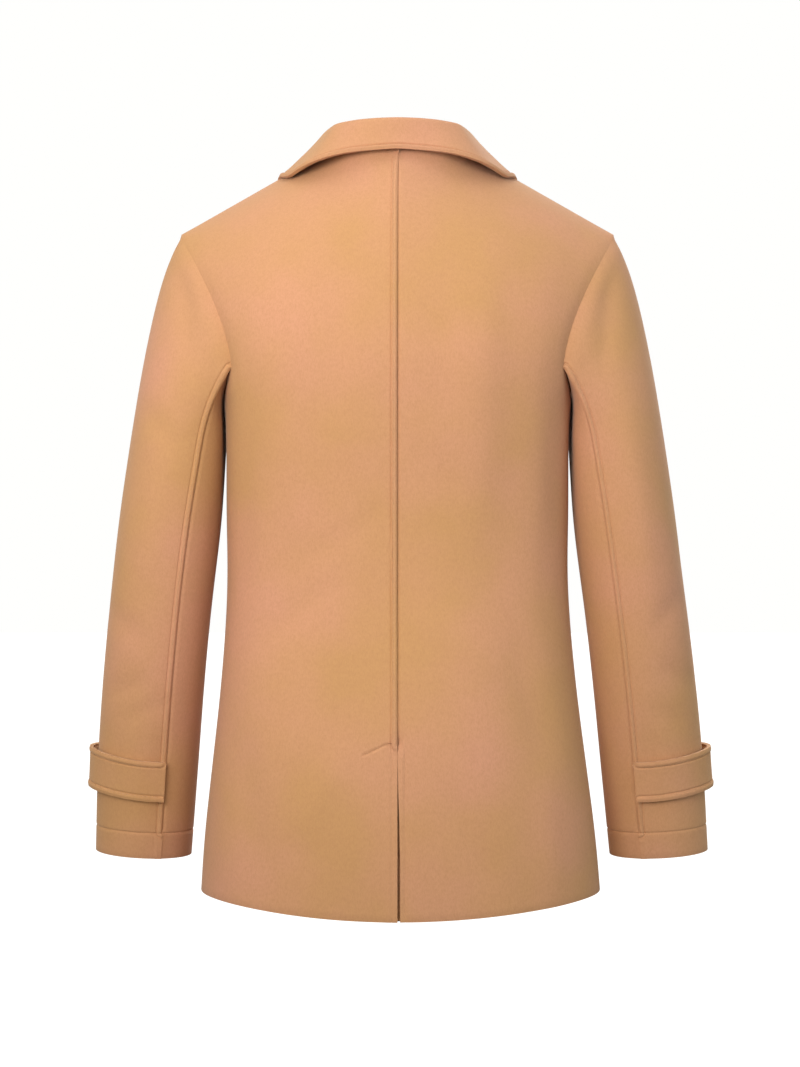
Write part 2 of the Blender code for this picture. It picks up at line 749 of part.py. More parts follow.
def collar_profile(seam, turn, last_turn, ground):
    """Visible side of the collar across its width: up the stand, over, down the fall."""
    angle = radians(turn)
    depth = NECK_BACK if turn <= 90 else NECK_FRONT
    out = np.array((sin(angle) / NECK_HALF_WIDTH, -cos(angle) / depth, 0.0))
    out /= np.linalg.norm(out)
    last_place = COLLAR.rows[-1][0]
    place = turn if turn <= 90 else 90 + (last_place - 90) * (turn - 90) / (last_turn - 90)
    settle = ease(place, *SETTLE)
    fold = seam + out * COLLAR.at("lean", place)
    fold[2] = max(COLLAR.at("fold_height", place), seam[2] + LOWEST_STAND)
    stand = fold[2] - seam[2]
    edge = np.array([COLLAR.at(name, place) for name in ("edge_out", "edge_forward", "edge_height")])
    radius = min(ROLL_RADIUS, stand * 0.5)
    base = seam + UP * SEAM_GAP * 2
    inner, inner_roll, outer_roll, outer_start = (
        fold - UP * radius * down + out * radius * aside for down, aside in ROLL)
    edge = rest_above(edge, ground, settle)
    fall = edge - outer_start
    length = np.linalg.norm(fall)
    bulge = np.cross(fall / length, np.cross(out, fall / length))
    bulge = bulge / max(np.linalg.norm(bulge), SMALL)
    points = [base, between(base, inner, 0.5), inner, inner_roll, fold, outer_roll, outer_start]
    shares = (0.33, 0.62, 1 - (WELT_WIDTH + WELT_FOOT) / length, 1 - WELT_WIDTH / length, 1.0)
    for share in shares:
        point = outer_start + fall * share - bulge * FALL_HOLLOW * sin(pi * share)
        notch = min(share / NOTCH_SHARE, (1 - share) / (1 - NOTCH_SHARE))
        point[2] -= NOTCH_DROP * notch * settle * ease(place, NOTCH_FROM, last_place)
        points.append(rest_above(point, ground, settle * ease(share, 0.0, 0.5)))
    return np.array(points)


def rest_above(point, ground, settle):
    """A point of the fall, laid on the coat as far as settle says, and never in it."""
    clear = COLLAR_CLOTH + COLLAR_GAP
    lying, height = ground.over(point, clear)
    point = between(point, lying, settle)
    lying, height = ground.over(point, clear)
    return lying if height < clear else point


def closer(seam, turns):
    """The neckline with more points, none further than COLLAR_STEP degrees from the next."""
    points, degrees = [seam[0]], [turns[0]]
    for number in range(1, len(turns)):
        parts = int(np.ceil((turns[number] - turns[number - 1]) / COLLAR_STEP))
        for part in range(1, parts + 1):
            points.append(between(seam[number - 1], seam[number], part / parts))
            degrees.append(between(turns[number - 1], turns[number], part / parts))
    return np.array(points), np.array(degrees)


def collar_piece(back, front, ground):
    """The collar in one piece, from one roll line round the neck to the other."""
    seam, turns = closer(*neck_seam(back, front))
    half = [collar_profile(point, turn, turns[-1], ground) for point, turn in zip(seam, turns)]
    left = [profile * np.array((-1.0, 1.0, 1.0)) for profile in half[:0:-1]]
    grid = np.array(left + half)
    piece = Piece("collar", grid, grid_cells(grid.shape[0], grid.shape[1]), COLLAR_CLOTH)
    last = grid.shape[1] - 1
    for key in piece.keys:
        if key[1] >= last - 1:
            piece.lift[key] = (WELT, 0.0)
    return piece


# ---------------------------------------------------------------- lapels

LAPEL_ROWS = 11
LAPEL_ACROSS = (0.0, 0.07, 0.2, 0.45, 0.7)   # its columns, up to its stitched edge
LAPEL_GAP = 0.0024            # air between the lapel and the front under it
LAPEL_ROLL = (0.004, 0.020)   # how high it rolls at its fold, and how far out that dies out
LAPEL_FIRST = 0.15            # the right lapel starts this share up, clear of the left front
CLOSE_AT = 0.0015             # and its lower end keeps this far from the centre line


def lapel_piece(side, front, ground):
    """The turned-back lapel, laid on the front with a soft roll at its fold."""
    flip = -1 if side == "left" else 1
    first = 0.0 if side == "left" else LAPEL_FIRST
    shares_up = np.linspace(first, 1.0, LAPEL_ROWS + 1)
    edge = front[0][:, 0]
    top = edge[-1][2] - SEAM_GAP * 3
    grid = np.zeros((len(shares_up), len(LAPEL_ACROSS) + 3, 3))
    for row, share in enumerate(shares_up):
        height = BREAK + (top - BREAK) * share
        start = np.interp(height, edge[:, 2], edge[:, 0]) + SEAM_GAP
        width = LAPEL.at("width", share)
        slope = radians(LAPEL.at("slope", share))
        end = start + width * cos(slope)
        if side == "right":
            start = max(start, 2 * CLOSE_AT - start)
        reach = (end - start) / cos(slope)
        welt = max(reach - WELT_WIDTH, reach * 0.6)
        distances = [min(reach * part, welt * 0.9) for part in LAPEL_ACROSS]
        distances += [welt - WELT_FOOT, welt, reach]
        for column, distance in enumerate(distances):
            x = start + distance * cos(slope)
            z = height - distance * sin(slope)
            place, normal = ground.at(x * flip, z)
            roll = LAPEL_ROLL[0] * np.exp(-distance / LAPEL_ROLL[1]) * ease(share, 0.0, 0.3)
            grid[row, column] = place + normal * (CLOTH + LAPEL_GAP + roll)
    piece = Piece("lapel_" + side, grid, grid_cells(grid.shape[0], grid.shape[1]), CLOTH,
                  outward=-flip)
    last = grid.shape[1] - 1
    for key in piece.keys:
        if key[1] >= last - 1:
            piece.lift[key] = (LAPEL_WELT, 0.0)
    return piece


# ---------------------------------------------------------------- cuff tabs

TAB_NARROW = 0.25             # how much narrower it is at the very end of its rounded tip


def tab_angles():
    """Degrees round the sleeve of the tab's rows, which follow the sleeve's own columns."""
    step = SEAM_ANGLE / HIGH_ROWS / 2
    first, last = int((TAB_START - 2) / step), int((TAB_END + 2) / step)
    return [TAB_START] + [step * number for number in range(first, last - 1, -1)] + [TAB_END]


def tab_piece(side, ground):
    """The strap that leaves the elbow seam, passes round the outer side and is buttoned."""
    flip = -1 if side == "left" else 1
    half = TAB_HALF_WIDTH
    across = (-half, -half + WELT_WIDTH, -half + WELT_WIDTH + WELT_FOOT, 0.0,
              half - WELT_WIDTH - WELT_FOOT, half - WELT_WIDTH, half)
    angles = tab_angles()
    grid = np.zeros((len(angles), len(across), 3))
    for row, angle in enumerate(angles):
        share = (TAB_START - angle) / (TAB_START - TAB_END)
        outer = max(cos(radians(angle)), 0.0)
        middle = TAB_HEIGHT + TAB_RISE * ease(TAB_START - angle, 0.0, TAB_START)
        seat = SEAM_GAP + (LAY_GAP - SEAM_GAP) * ease(share, 0.0, 0.25)
        lift = TAB_CLOTH + seat + TAB_STAND_OFF * outer ** 1.5
        narrow = 1 - TAB_NARROW * ease(share, 0.94, 1.0)
        for column, offset in enumerate(across):
            height = middle + offset * narrow
            here = sleeve_point(height, angle)
            round_way = sleeve_point(height, angle - 1) - sleeve_point(height, angle + 1)
            up_way = sleeve_point(height + 0.002, angle) - sleeve_point(height - 0.002, angle)
            normal = np.cross(up_way, round_way)
            normal /= np.linalg.norm(normal)
            if normal[0] * cos(radians(angle)) - normal[1] * sin(radians(angle)) < 0:
                normal = -normal
            place = here + normal * lift
            for _ in range(2):
                place = place + normal * (lift - ground.over(place, 0.0)[1])
            grid[row, column] = place
    if side == "left":
        grid = mirrored(grid)
    piece = Piece("cuff_tab_" + side, grid, grid_cells(*grid.shape[:2]), TAB_CLOTH,
                  outward=-flip)
    for key in piece.keys:
        row, column = key
        if column not in (2, 3, 4) or row == len(angles) - 1:
            piece.lift[key] = (TAB_WELT, 0.0)
    return piece


# ---------------------------------------------------------------- buttons

BUTTON_SIDES = 16


def button_object(name, place, normal, radius, material):
    """A turned button with a raised rim and a dished middle, sitting on the cloth."""
    height = radius * 0.36
    profile = ((0.0, 0.0), (0.80 * radius, 0.0), (radius, 0.35 * height), (radius, 0.70 * height),
               (0.90 * radius, height), (0.74 * radius, 0.86 * height),
               (0.62 * radius, 0.62 * height), (0.0, 0.58 * height))
    vertices, rings = [], []
    for distance, level in profile:
        if distance == 0.0:
            rings.append([len(vertices)])
            vertices.append((0.0, 0.0, level))
            continue
        ring = []
        for number in range(BUTTON_SIDES):
            angle = 2 * pi * number / BUTTON_SIDES
            ring.append(len(vertices))
            vertices.append((distance * cos(angle), distance * sin(angle), level))
        rings.append(ring)
    faces = []
    for low, high in zip(rings, rings[1:]):
        for number in range(BUTTON_SIDES):
            after = (number + 1) % BUTTON_SIDES
            if len(low) == 1:
                faces.append([low[0], high[after], high[number]])
            elif len(high) == 1:
                faces.append([low[number], low[after], high[0]])
            else:
                faces.append([low[number], low[after], high[after], high[number]])
    turn = Vector(normal).to_track_quat("Z", "Y").to_matrix().to_4x4()
    spot = Vector(place) + Vector(normal) * SEAM_GAP
    placed = [Matrix.Translation(spot) @ turn @ Vector(vertex) for vertex in vertices]
    return make_object(name, placed, faces, material)


def button_seat(mesh_data, place, direction, radius):
    """Where a flat button touches the cloth: lifted clear of its highest point under it."""
    tree = BVHTree.FromPolygons([Vector(vertex) for vertex in mesh_data[0]], mesh_data[1])
    direction = Vector(direction).normalized()
    start = Vector(place) + direction * 0.05
    hit, normal, _, _ = tree.ray_cast(start, -direction)
    if normal.dot(direction) < 0:
        normal = -normal
    side = normal.orthogonal().normalized()
    highest = 0.0
    for ring in (0.5, 1.0):
        for number in range(12):
            spoke = Matrix.Rotation(2 * pi * number / 12, 3, normal) @ side
            probe = hit + spoke * radius * ring + normal * 0.02
            touch = tree.ray_cast(probe, -normal)[0]
            if touch is not None:
                highest = max(highest, (touch - hit).dot(normal))
    return np.array(hit + normal * highest), np.array(normal)


# ---------------------------------------------------------------- the coat

def build():
    for thing in list(bpy.data.objects):
        bpy.data.objects.remove(thing, do_unlink=True)
    wool = finish_material("camel_wool", (0.60, 0.34, 0.17), 0.92)
    horn = finish_material("brown_horn", (0.11, 0.055, 0.028), 0.35)

    back, front = body_grid("back"), body_grid("front")
    back_left, back_right = back_pieces(back)
    front_left, front_right = front_pieces(front)
    loop = armhole_loop(back, front)
    sewn = [back_left, back_right, front_left, front_right] + sleeve_pieces(loop)
    normals = shared_normals(sewn)
    built = {}
    for piece in sewn:
        built[piece.name] = wall_mesh(piece, normals)

    laid = [collar_piece(back, front, Ground([back_right, front_right], normals))]
    sleeve_ground = Ground(sewn[-2:], normals)
    for side, panel in (("left", front_left), ("right", front_right)):
        laid.append(lapel_piece(side, front, Ground([panel], normals)))
        laid.append(tab_piece(side, sleeve_ground))
    for piece in laid:
        built[piece.name] = wall_mesh(piece, shared_normals([piece]))

    for name, (vertices, faces) in built.items():
        make_object(name, vertices, faces, wool)

    for number, height in enumerate(BUTTON_HEIGHTS, start=1):
        place, normal = button_seat(built["front_left"], (0.0, 0.15, height), (0, 1, 0), BUTTON_RADIUS)
        button_object(f"front_button_{number}", place, normal, BUTTON_RADIUS, horn)
    for side, flip in (("left", -1), ("right", 1)):
        angle = TAB_END + TAB_BUTTON_IN
        spot = sleeve_point(TAB_HEIGHT + TAB_RISE, angle) * np.array((flip, 1, 1))
        way = (flip * cos(radians(angle)), -sin(radians(angle)), 0.0)
        place, normal = button_seat(built["cuff_tab_" + side], spot, way, TAB_BUTTON_RADIUS)
        button_object("tab_button_" + side, place, normal, TAB_BUTTON_RADIUS, horn)


build()
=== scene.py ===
# %% [markdown]
# # A short camel coat, finished from its plain solids
# The solids that come with this part give the coat its cut: two backs, two fronts, a
# collar, lapels, sleeves, cuff tabs and buttons. They are coarse and stiff. This lesson
# gives each of them the soft surface, the raised seams, the stitches and the nap of the
# real cloth, and then lights the coat as in a plain studio. It hangs hollow, as if worn,
# and is seen from the back. Left and right are the wearer's.

# %% Load the solids
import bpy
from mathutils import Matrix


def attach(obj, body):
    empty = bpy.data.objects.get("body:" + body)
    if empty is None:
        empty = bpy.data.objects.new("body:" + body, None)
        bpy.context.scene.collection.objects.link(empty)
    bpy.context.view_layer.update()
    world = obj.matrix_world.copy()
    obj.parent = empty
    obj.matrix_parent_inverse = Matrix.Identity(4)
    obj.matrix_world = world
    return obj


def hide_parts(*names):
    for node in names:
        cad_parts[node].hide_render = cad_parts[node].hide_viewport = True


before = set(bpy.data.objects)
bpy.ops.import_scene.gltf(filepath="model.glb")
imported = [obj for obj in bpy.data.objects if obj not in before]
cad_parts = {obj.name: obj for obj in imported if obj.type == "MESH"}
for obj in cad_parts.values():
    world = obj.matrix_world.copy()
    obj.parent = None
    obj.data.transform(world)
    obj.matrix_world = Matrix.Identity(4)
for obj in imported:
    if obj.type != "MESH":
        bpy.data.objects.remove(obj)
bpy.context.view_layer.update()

# %% Other modules that the lesson needs
from math import cos, pi, radians, sin

import bmesh
import bpy
import numpy as np
from mathutils import Matrix, Vector
from mathutils.bvhtree import BVHTree
from mathutils.kdtree import KDTree

# %% [markdown]
# ## Working on one object at a time
# An operator acts on everything that is selected. So each step first clears the
# selection and then picks one object, as a click in the viewport would.


# %% Pick one object, and finish a modifier
def pick(thing):
    """Deselects everything, and makes one object the active one."""
    if bpy.context.mode != "OBJECT":
        bpy.ops.object.mode_set(mode="OBJECT")
    bpy.ops.object.select_all(action="DESELECT")
    thing.select_set(True)
    bpy.context.view_layer.objects.active = thing


def finish_modifier(thing, kind, **settings):
    """Adds a modifier with its settings and applies it at once."""
    pick(thing)
    bpy.ops.object.modifier_add(type=kind)
    modifier = thing.modifiers[-1]
    for name, value in settings.items():
        setattr(modifier, name, value)
    bpy.ops.object.modifier_apply(modifier=modifier.name)


# %% [markdown]
# ## Reading and moving points
# Most of the shaping below works on all the points of a piece at once: it reads where
# they lie, works out how far each one has to go, and puts them there. Where a step needs
# the faces and edges as well, it takes the piece's form, changes that and puts it back.


# %% Read, sink and move points
def read_points(thing):
    """Points of a mesh and its outward directions, as two arrays."""
    count = len(thing.data.vertices)
    places, normals = np.zeros(count * 3), np.zeros(count * 3)
    thing.data.vertices.foreach_get("co", places)
    thing.data.vertices.foreach_get("normal", normals)
    return places.reshape(-1, 3), normals.reshape(-1, 3)


def place_points(thing, places):
    thing.data.vertices.foreach_set("co", places.ravel())
    thing.data.update()


def sink(thing, depths):
    """Moves every point inward by its own depth."""
    places, normals = read_points(thing)
    place_points(thing, places - normals * depths[:, None])


def move(thing, axis, amounts):
    """Moves every point along one axis by its own amount."""
    places, _ = read_points(thing)
    places[:, axis] += amounts
    place_points(thing, places)


def soft_step(value, low, high):
    """0 below low, 1 above high, and smooth between."""
    share = np.clip((value - low) / (high - low), 0.0, 1.0)
    return share * share * (3 - 2 * share)


# %% Take a piece's form, put it back, and find the nearest of many places
def form_of(thing):
    form = bmesh.new()
    form.from_mesh(thing.data)
    return form


def put_back(form, thing):
    form.to_mesh(thing.data)
    form.free()


def search_tree(spots):
    """A tree that finds the nearest of many places."""
    tree = KDTree(len(spots))
    for number, spot in enumerate(spots):
        tree.insert(spot, number)
    tree.balance()
    return tree


def way_inward(edge):
    """The way from an open edge into its only face, at right angles to the edge."""
    face, (start, end) = edge.link_faces[0], edge.verts
    across = face.normal.cross(end.co - start.co).normalized()
    return across if across.dot(face.calc_center_median() - start.co) >= 0 else -across


# %% [markdown]
# ## The outer skin of a piece of cloth
# Each solid is a closed wall: an outside, an inside and a narrow rim between them. A line
# from a face of the rim runs a long way through the cloth, and from any other face only
# through its thickness. So the outside can be found by starting on a face that looks
# outward and spreading as far as the rim. Only that skin is kept: it is smoothed and
# creased as one sheet, and gets its thickness back at the end. That is quicker than
# shaping both sides, and keeps the wall even.

# %% Find and keep the outer skin
CLOTH = 0.0025                # thickness of the wool
COLLAR_CLOTH = 0.0035         # and where it is doubled, in the collar
TAB_CLOTH = 0.0040            # and in the cuff tabs
RIM_ANGLE = radians(52)       # an edge sharper than this lies on the rim
FOLD_ANGLE = radians(62)      # the same, on the collar, whose fold is tight
QUAD_ANGLE = radians(60)      # two triangles less skew than this make one face
RIM_DEPTH = 1.9               # a wall deeper than this many thicknesses is cut cloth
SAME_POINT = 0.00002          # metres


def is_rim(face, form_tree, thickness):
    """Whether the wall is far deeper under a face than the cloth is thick."""
    start = face.calc_center_median() - face.normal * SAME_POINT
    _, _, _, depth = form_tree.ray_cast(start, -face.normal)
    return depth is None or depth > RIM_DEPTH * thickness


def spread_from(first, rim, thickness):
    """All the faces that can be reached from one without crossing the rim."""
    sharp = FOLD_ANGLE if thickness == COLLAR_CLOTH else RIM_ANGLE
    found, waiting = {first}, [first]
    while waiting:
        face = waiting.pop()
        for edge in face.edges:
            if len(edge.link_faces) != 2 or edge.calc_face_angle() > sharp:
                continue
            for other in edge.link_faces:
                if other not in found and other not in rim:
                    found.add(other)
                    waiting.append(other)
    return found


def outer_skin(node, name, toward, thickness):
    """A new object with only the outside of a node's wall, as quads."""
    skin = bpy.data.objects.new(name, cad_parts[node].data.copy())
    skin.data.materials.clear()
    bpy.context.scene.collection.objects.link(skin)
    pick(skin)
    bpy.ops.object.mode_set(mode="EDIT")
    bpy.ops.mesh.select_all(action="SELECT")
    bpy.ops.mesh.remove_doubles(threshold=SAME_POINT)
    form = bmesh.from_edit_mesh(skin.data)
    form.faces.ensure_lookup_table()
    form_tree = BVHTree.FromBMesh(form)
    rim = {face for face in form.faces if is_rim(face, form_tree, thickness)}
    way, best, found = Vector(toward), 0.0, set()
    left = set(form.faces) - rim
    while left:
        region = spread_from(min(left, key=lambda face: face.index), rim, thickness)
        left -= region
        score = sum(face.calc_area() * face.normal.dot(way) for face in region)
        if score > best:
            best, found = score, region
    for face in form.faces:
        face.select_set(face not in found)
    bmesh.update_edit_mesh(skin.data)
    bpy.ops.mesh.delete(type="FACE")
    bpy.ops.mesh.select_all(action="SELECT")
    bpy.ops.mesh.tris_convert_to_quads(face_threshold=QUAD_ANGLE, shape_threshold=QUAD_ANGLE)
    bpy.ops.object.mode_set(mode="OBJECT")
    quads = sum(len(face.vertices) == 4 for face in skin.data.polygons)
    print(name, "skin:", len(skin.data.polygons), "faces, of them", quads, "quads")
    return skin


# %% [markdown]
# ## Soft folds
# Thick wool doesn't crease sharply. It sinks and rises by a millimetre or two over a
# width of a few centimetres. Each row below is one such fold, as a line from one place to
# another in the view from the back or the front, with its width and its depth. A
# negative depth is a ridge. The rows are placed one by one, each with its own length, so
# that the cloth never looks regular. They die out at the armhole, where sleeve and body
# have to meet.

# %% The folds of the body
# from x, from z, to x, to z, width, depth
BACK_FOLDS = (
    (-0.062, -0.106, -0.060, -0.250, 0.019, 0.0025),
    (0.040, -0.160, 0.043, -0.262, 0.021, 0.0017),
    (-0.109, -0.280, -0.105, -0.390, 0.017, -0.0019),
    (0.090, -0.120, 0.086, -0.370, 0.022, -0.0025),
    (-0.150, -0.250, -0.160, -0.420, 0.015, 0.0023),
    (0.160, -0.240, 0.166, -0.400, 0.014, 0.0023),
    (-0.100, -0.420, -0.020, -0.372, 0.011, 0.0013),
    (-0.150, -0.505, -0.062, -0.440, 0.012, 0.0015),
    (0.030, -0.470, 0.098, -0.530, 0.013, -0.0015),
    (0.120, -0.500, 0.150, -0.610, 0.018, 0.0025),
    (-0.098, -0.690, -0.058, -0.615, 0.015, -0.0019),
    (0.052, -0.650, 0.092, -0.740, 0.014, 0.0019),
    (-0.160, -0.600, -0.140, -0.740, 0.019, 0.0027),
    (0.012, -0.300, 0.060, -0.352, 0.013, 0.0011),
    (0.150, -0.640, 0.160, -0.760, 0.015, -0.0021),
)
FRONT_FOLDS = (
    (-0.120, -0.130, -0.112, -0.300, 0.020, 0.0027),
    (0.116, -0.120, 0.104, -0.290, 0.021, 0.0025),
    (-0.064, -0.300, -0.118, -0.410, 0.015, 0.0019),
    (0.070, -0.330, 0.128, -0.430, 0.014, 0.0017),
    (-0.150, -0.300, -0.160, -0.470, 0.017, 0.0025),
    (0.156, -0.280, 0.158, -0.440, 0.015, 0.0023),
    (-0.100, -0.500, -0.130, -0.720, 0.020, 0.0029),
    (0.096, -0.520, 0.112, -0.700, 0.019, -0.0025),
    (-0.050, -0.600, -0.060, -0.745, 0.015, -0.0019),
    (0.150, -0.560, 0.164, -0.740, 0.018, 0.0027),
)
# The sleeves, in the view from the back, for the wearer's left and right
SLEEVE_FOLDS = (
    (-0.224, -0.120, -0.214, -0.210, 0.011, 0.0027),
    (0.222, -0.120, 0.212, -0.215, 0.011, 0.0029),
    (-0.262, -0.260, -0.226, -0.300, 0.011, 0.0017),
    (-0.240, -0.300, -0.262, -0.430, 0.014, -0.0019),
    (0.236, -0.250, 0.262, -0.460, 0.017, -0.0027),
    (-0.302, -0.470, -0.262, -0.500, 0.010, 0.0017),
    (0.300, -0.452, 0.268, -0.486, 0.010, 0.0019),
    (-0.300, -0.556, -0.262, -0.545, 0.009, 0.0019),
    (-0.286, -0.582, -0.240, -0.566, 0.008, 0.0015),
    (0.318, -0.548, 0.274, -0.530, 0.009, 0.0017),
    (0.300, -0.585, 0.262, -0.574, 0.008, 0.0013),
    (-0.246, -0.600, -0.252, -0.690, 0.011, 0.0019),
    (0.262, -0.600, 0.272, -0.690, 0.011, 0.0019),
    (-0.300, -0.350, -0.318, -0.470, 0.013, 0.0017),
    (0.290, -0.330, 0.312, -0.440, 0.013, 0.0019),
)

# A fold keeps its depth along its middle and then falls away, a little past its ends.
FOLD_CORE = 1.3
FOLD_FALL = 1.6


def fold_depth(places, folds):
    """How far each place sinks, from all the folds of a table."""
    total = np.zeros(len(places))
    flat = places[:, [0, 2]]
    for from_x, from_z, to_x, to_z, width, depth in folds:
        run = np.array((to_x - from_x, to_z - from_z))
        offset = flat - np.array((from_x, from_z))
        along = offset @ run / (run @ run)
        across = offset @ np.array((run[1], -run[0])) / np.hypot(*run)
        fade = soft_step(FOLD_CORE - np.abs(along - 0.5) * FOLD_FALL, 0.0, 1.0)
        total += depth * fade * np.exp(-(across / width) ** 2)
    return total


print("folds:", len(BACK_FOLDS) + len(FRONT_FOLDS) + len(SLEEVE_FOLDS))

# %% Drape a skin
ARMHOLE_OUT = 0.140           # the armhole's seam lies further out than this
ARMHOLE_LOW = -0.252          # and above this
ARMHOLE_HIGH = -0.080         # up to just below the shoulder's tip
ARMHOLE_FADE = (0.003, 0.025)     # distances from it between which the folds begin
LOOKS_THAT_WAY = 0.62         # cosine above which cloth has its side's folds in full
SLEEVE_FRONT = 0.8            # how strong a sleeve's folds are on its front


def facing(normals, way):
    """1 where the cloth looks a way, falling softly to 0 at its sides."""
    return soft_step(normals @ np.array(way), 0.0, LOOKS_THAT_WAY)


def on_armhole(p):
    """The armhole's seam, on a body panel, but for the shoulder's tip."""
    return abs(p.x) > ARMHOLE_OUT and ARMHOLE_LOW < p.z < ARMHOLE_HIGH


def armhole_share(thing, places):
    """0 at the armhole's seam, and 1 where the folds are whole."""
    form = form_of(thing)
    spots = [point.co.copy() for point in form.verts if point.is_boundary
             and abs(point.co.x) > ARMHOLE_OUT and point.co.z > ARMHOLE_LOW]
    form.free()
    if not spots:
        return np.ones(len(places))
    tree = search_tree(spots)
    return soft_step(np.array([tree.find(place)[2] for place in places]), *ARMHOLE_FADE)


def drape(thing):
    """Sinks the folds into a skin, each set on the side of the coat that it is for."""
    places, normals = read_points(thing)
    behind, before = facing(normals, (0, -1, 0)), facing(normals, (0, 1, 0))
    if "sleeve" in thing.name:
        depths = fold_depth(places, SLEEVE_FOLDS) * (behind + SLEEVE_FRONT * before)
    else:
        depths = fold_depth(places, BACK_FOLDS) * behind
        depths += fold_depth(places, FRONT_FOLDS) * before
    depths *= armhole_share(thing, places)
    sink(thing, depths)
    print(thing.name, "sinks by up to", round(float(depths.max()) * 1000, 1), "mm")


# %% [markdown]
# ## Seams that close
# The solids stop a hair apart at each seam. Sewn cloth meets, and its cut edges run on
# inside. So the open edge of each skin is drawn out until it meets the next one, and
# further round the neck, where the edges lie hidden under the collar.

# %% Draw out the edges of a skin
SEAM_REACH = 0.0003
ARMHOLE_REACH = 0.0012        # further round the armhole, where the pieces meet at an angle
NECK_REACH = 0.0030
NECK_HALF = (0.083, 0.066, 0.090)    # of the neckline, out, behind and in front
NECK_ROOM = 1.12              # how far past that oval its edge may still lie, squared
NECK_LOW = -0.05              # the lowest that it lies
SHARPEST = 0.5                # least share of a step that a sharp corner is drawn by


def round_neck(place):
    """Whether a place lies on the neckline, above the chest."""
    deep = NECK_HALF[1] if place.y < 0 else NECK_HALF[2]
    away = (place.x / NECK_HALF[0]) ** 2 + (place.y / deep) ** 2
    return away < NECK_ROOM and place.z > NECK_LOW


def draw_out_edges(skin):
    """Moves the open edge of a skin outward, along the cloth."""
    form = form_of(skin)
    moves = {}
    for edge in form.edges:
        if edge.is_boundary:
            for point in edge.verts:
                moves.setdefault(point, []).append(-way_inward(edge))
    for point, ways in moves.items():
        total = sum(ways, Vector())
        reach = SEAM_REACH
        if len(ways) == 2 and round_neck(point.co):
            reach = NECK_REACH
        elif on_armhole(point.co):
            reach = ARMHOLE_REACH
        point.co += total / max(total.dot(total) / len(ways), SHARPEST) * reach
    put_back(form, skin)


# %% Hold the sleeve's top at the shoulder's tip
SHOULDER_TIP = Vector((0.2295, 0.0, -0.0715))    # the wearer's right one


def hold_tip(skin):
    """Keeps a sleeve's topmost point where it is when the skin is subdivided."""
    form = form_of(skin)
    crease = form.verts.layers.float.new("crease_vert")

    def from_tip(point):
        return (Vector((abs(point.co.x), point.co.y, point.co.z)) - SHOULDER_TIP).length

    tip = min(form.verts, key=from_tip)
    tip[crease] = 1.0
    print(skin.name, "is held at", tuple(round(value, 3) for value in tip.co))
    put_back(form, skin)


# %% Sew in the cuff tab's end
TAB_END = (0.2530, 0.2585)    # each tab's sewn end lies within this of the middle
TAB_REACH = 0.0062            # how far it still is from there to the elbow seam
TAB_WAY = (-0.944, 0.328)     # the way to the seam, out from the middle and forward
TAB_OVER = 0.0010             # and how far the end rises over the seam's ridge


def sew_in_tab(skin):
    """Takes the tab's sewn end as far as the elbow seam."""
    side = 1 if skin.name.endswith("right") else -1
    limit = TAB_END[1] if side > 0 else TAB_END[0]
    form = form_of(skin)
    out, forward = TAB_WAY
    for point in form.verts:
        if point.is_boundary and abs(point.co.x) < limit:
            point.co += Vector((side * out, forward, 0.0)) * TAB_REACH
            point.co += Vector((-side * forward, out, 0.0)) * TAB_OVER
    put_back(form, skin)


# %% Bring the backs up behind the collar
NAPE_TOP = 0.0130             # height to which the backs' neck edge is brought
NAPE_OUT = 0.0063             # how far it stays clear of the collar's stand
NAPE_LEAN = 0.8               # outward for each metre up, at most
NAPE_FRONT = -0.012           # the neckline further forward than this stays as it is


def raise_nape(skin):
    """Takes the low parts of a back's neckline up the outside of the stand."""
    form = form_of(skin)
    lifted = [0.0]
    for point in form.verts:
        at = point.co
        if point.is_boundary and round_neck(at) and at.y < NAPE_FRONT:
            rise = max(NAPE_TOP - at.z, 0.0)
            out = Vector((at.x / NECK_HALF[0] ** 2, at.y / NECK_HALF[1] ** 2, 0.0)).normalized()
            point.co = at + out * min(rise * NAPE_LEAN, NAPE_OUT) + Vector((0.0, 0.0, rise))
            lifted.append(rise)
    put_back(form, skin)
    print(skin.name, "nape rises by up to", round(max(lifted) * 1000, 1), "mm")


# %% [markdown]
# ## The crease above the cuff
# The cuff is turned up inside and held by a row of stitches, which shows outside as a
# shallow groove some 27 mm above the edge. Three cuts are laid round the sleeve there
# first, so that the groove has points of its own to sink.

# %% Cut rows round the cuff, and sink the groove between them
CUFF_LOW = (0.2735, -0.7310)  # how far out the cuff's middle lies, and how high
CUFF_TILT = 0.060             # how fast the cuff's edge rises outward
TURN_UP = 0.0272              # from the edge to the groove
GROOVE_HALF = 0.0014          # between the cuts
GROOVE_WIDTH = 0.00112
GROOVE_DEPTH = 0.0008


def above_cuff(places):
    """Height of places above the slanted plane of the cuff's edge."""
    return places[:, 2] - CUFF_LOW[1] - CUFF_TILT * (np.abs(places[:, 0]) - CUFF_LOW[0])


def cut_cuff_rows(skin):
    """Lays the three cuts round a sleeve's end."""
    side = 1 if skin.name.endswith("right") else -1
    pick(skin)
    bpy.ops.object.mode_set(mode="EDIT")
    for rise in (TURN_UP - GROOVE_HALF, TURN_UP, TURN_UP + GROOVE_HALF):
        bpy.ops.mesh.select_all(action="SELECT")
        bpy.ops.mesh.bisect(
            plane_co=(side * CUFF_LOW[0], 0.0, CUFF_LOW[1] + rise),
            plane_no=(-side * CUFF_TILT, 0.0, 1.0),
        )
    bpy.ops.object.mode_set(mode="OBJECT")


def sink_cuff_groove(skin):
    """Sinks the groove that the turned-up cuff's stitches pull."""
    places, _ = read_points(skin)
    away = above_cuff(places) - TURN_UP
    sink(skin, GROOVE_DEPTH * np.exp(-(away / GROOVE_WIDTH) ** 2))


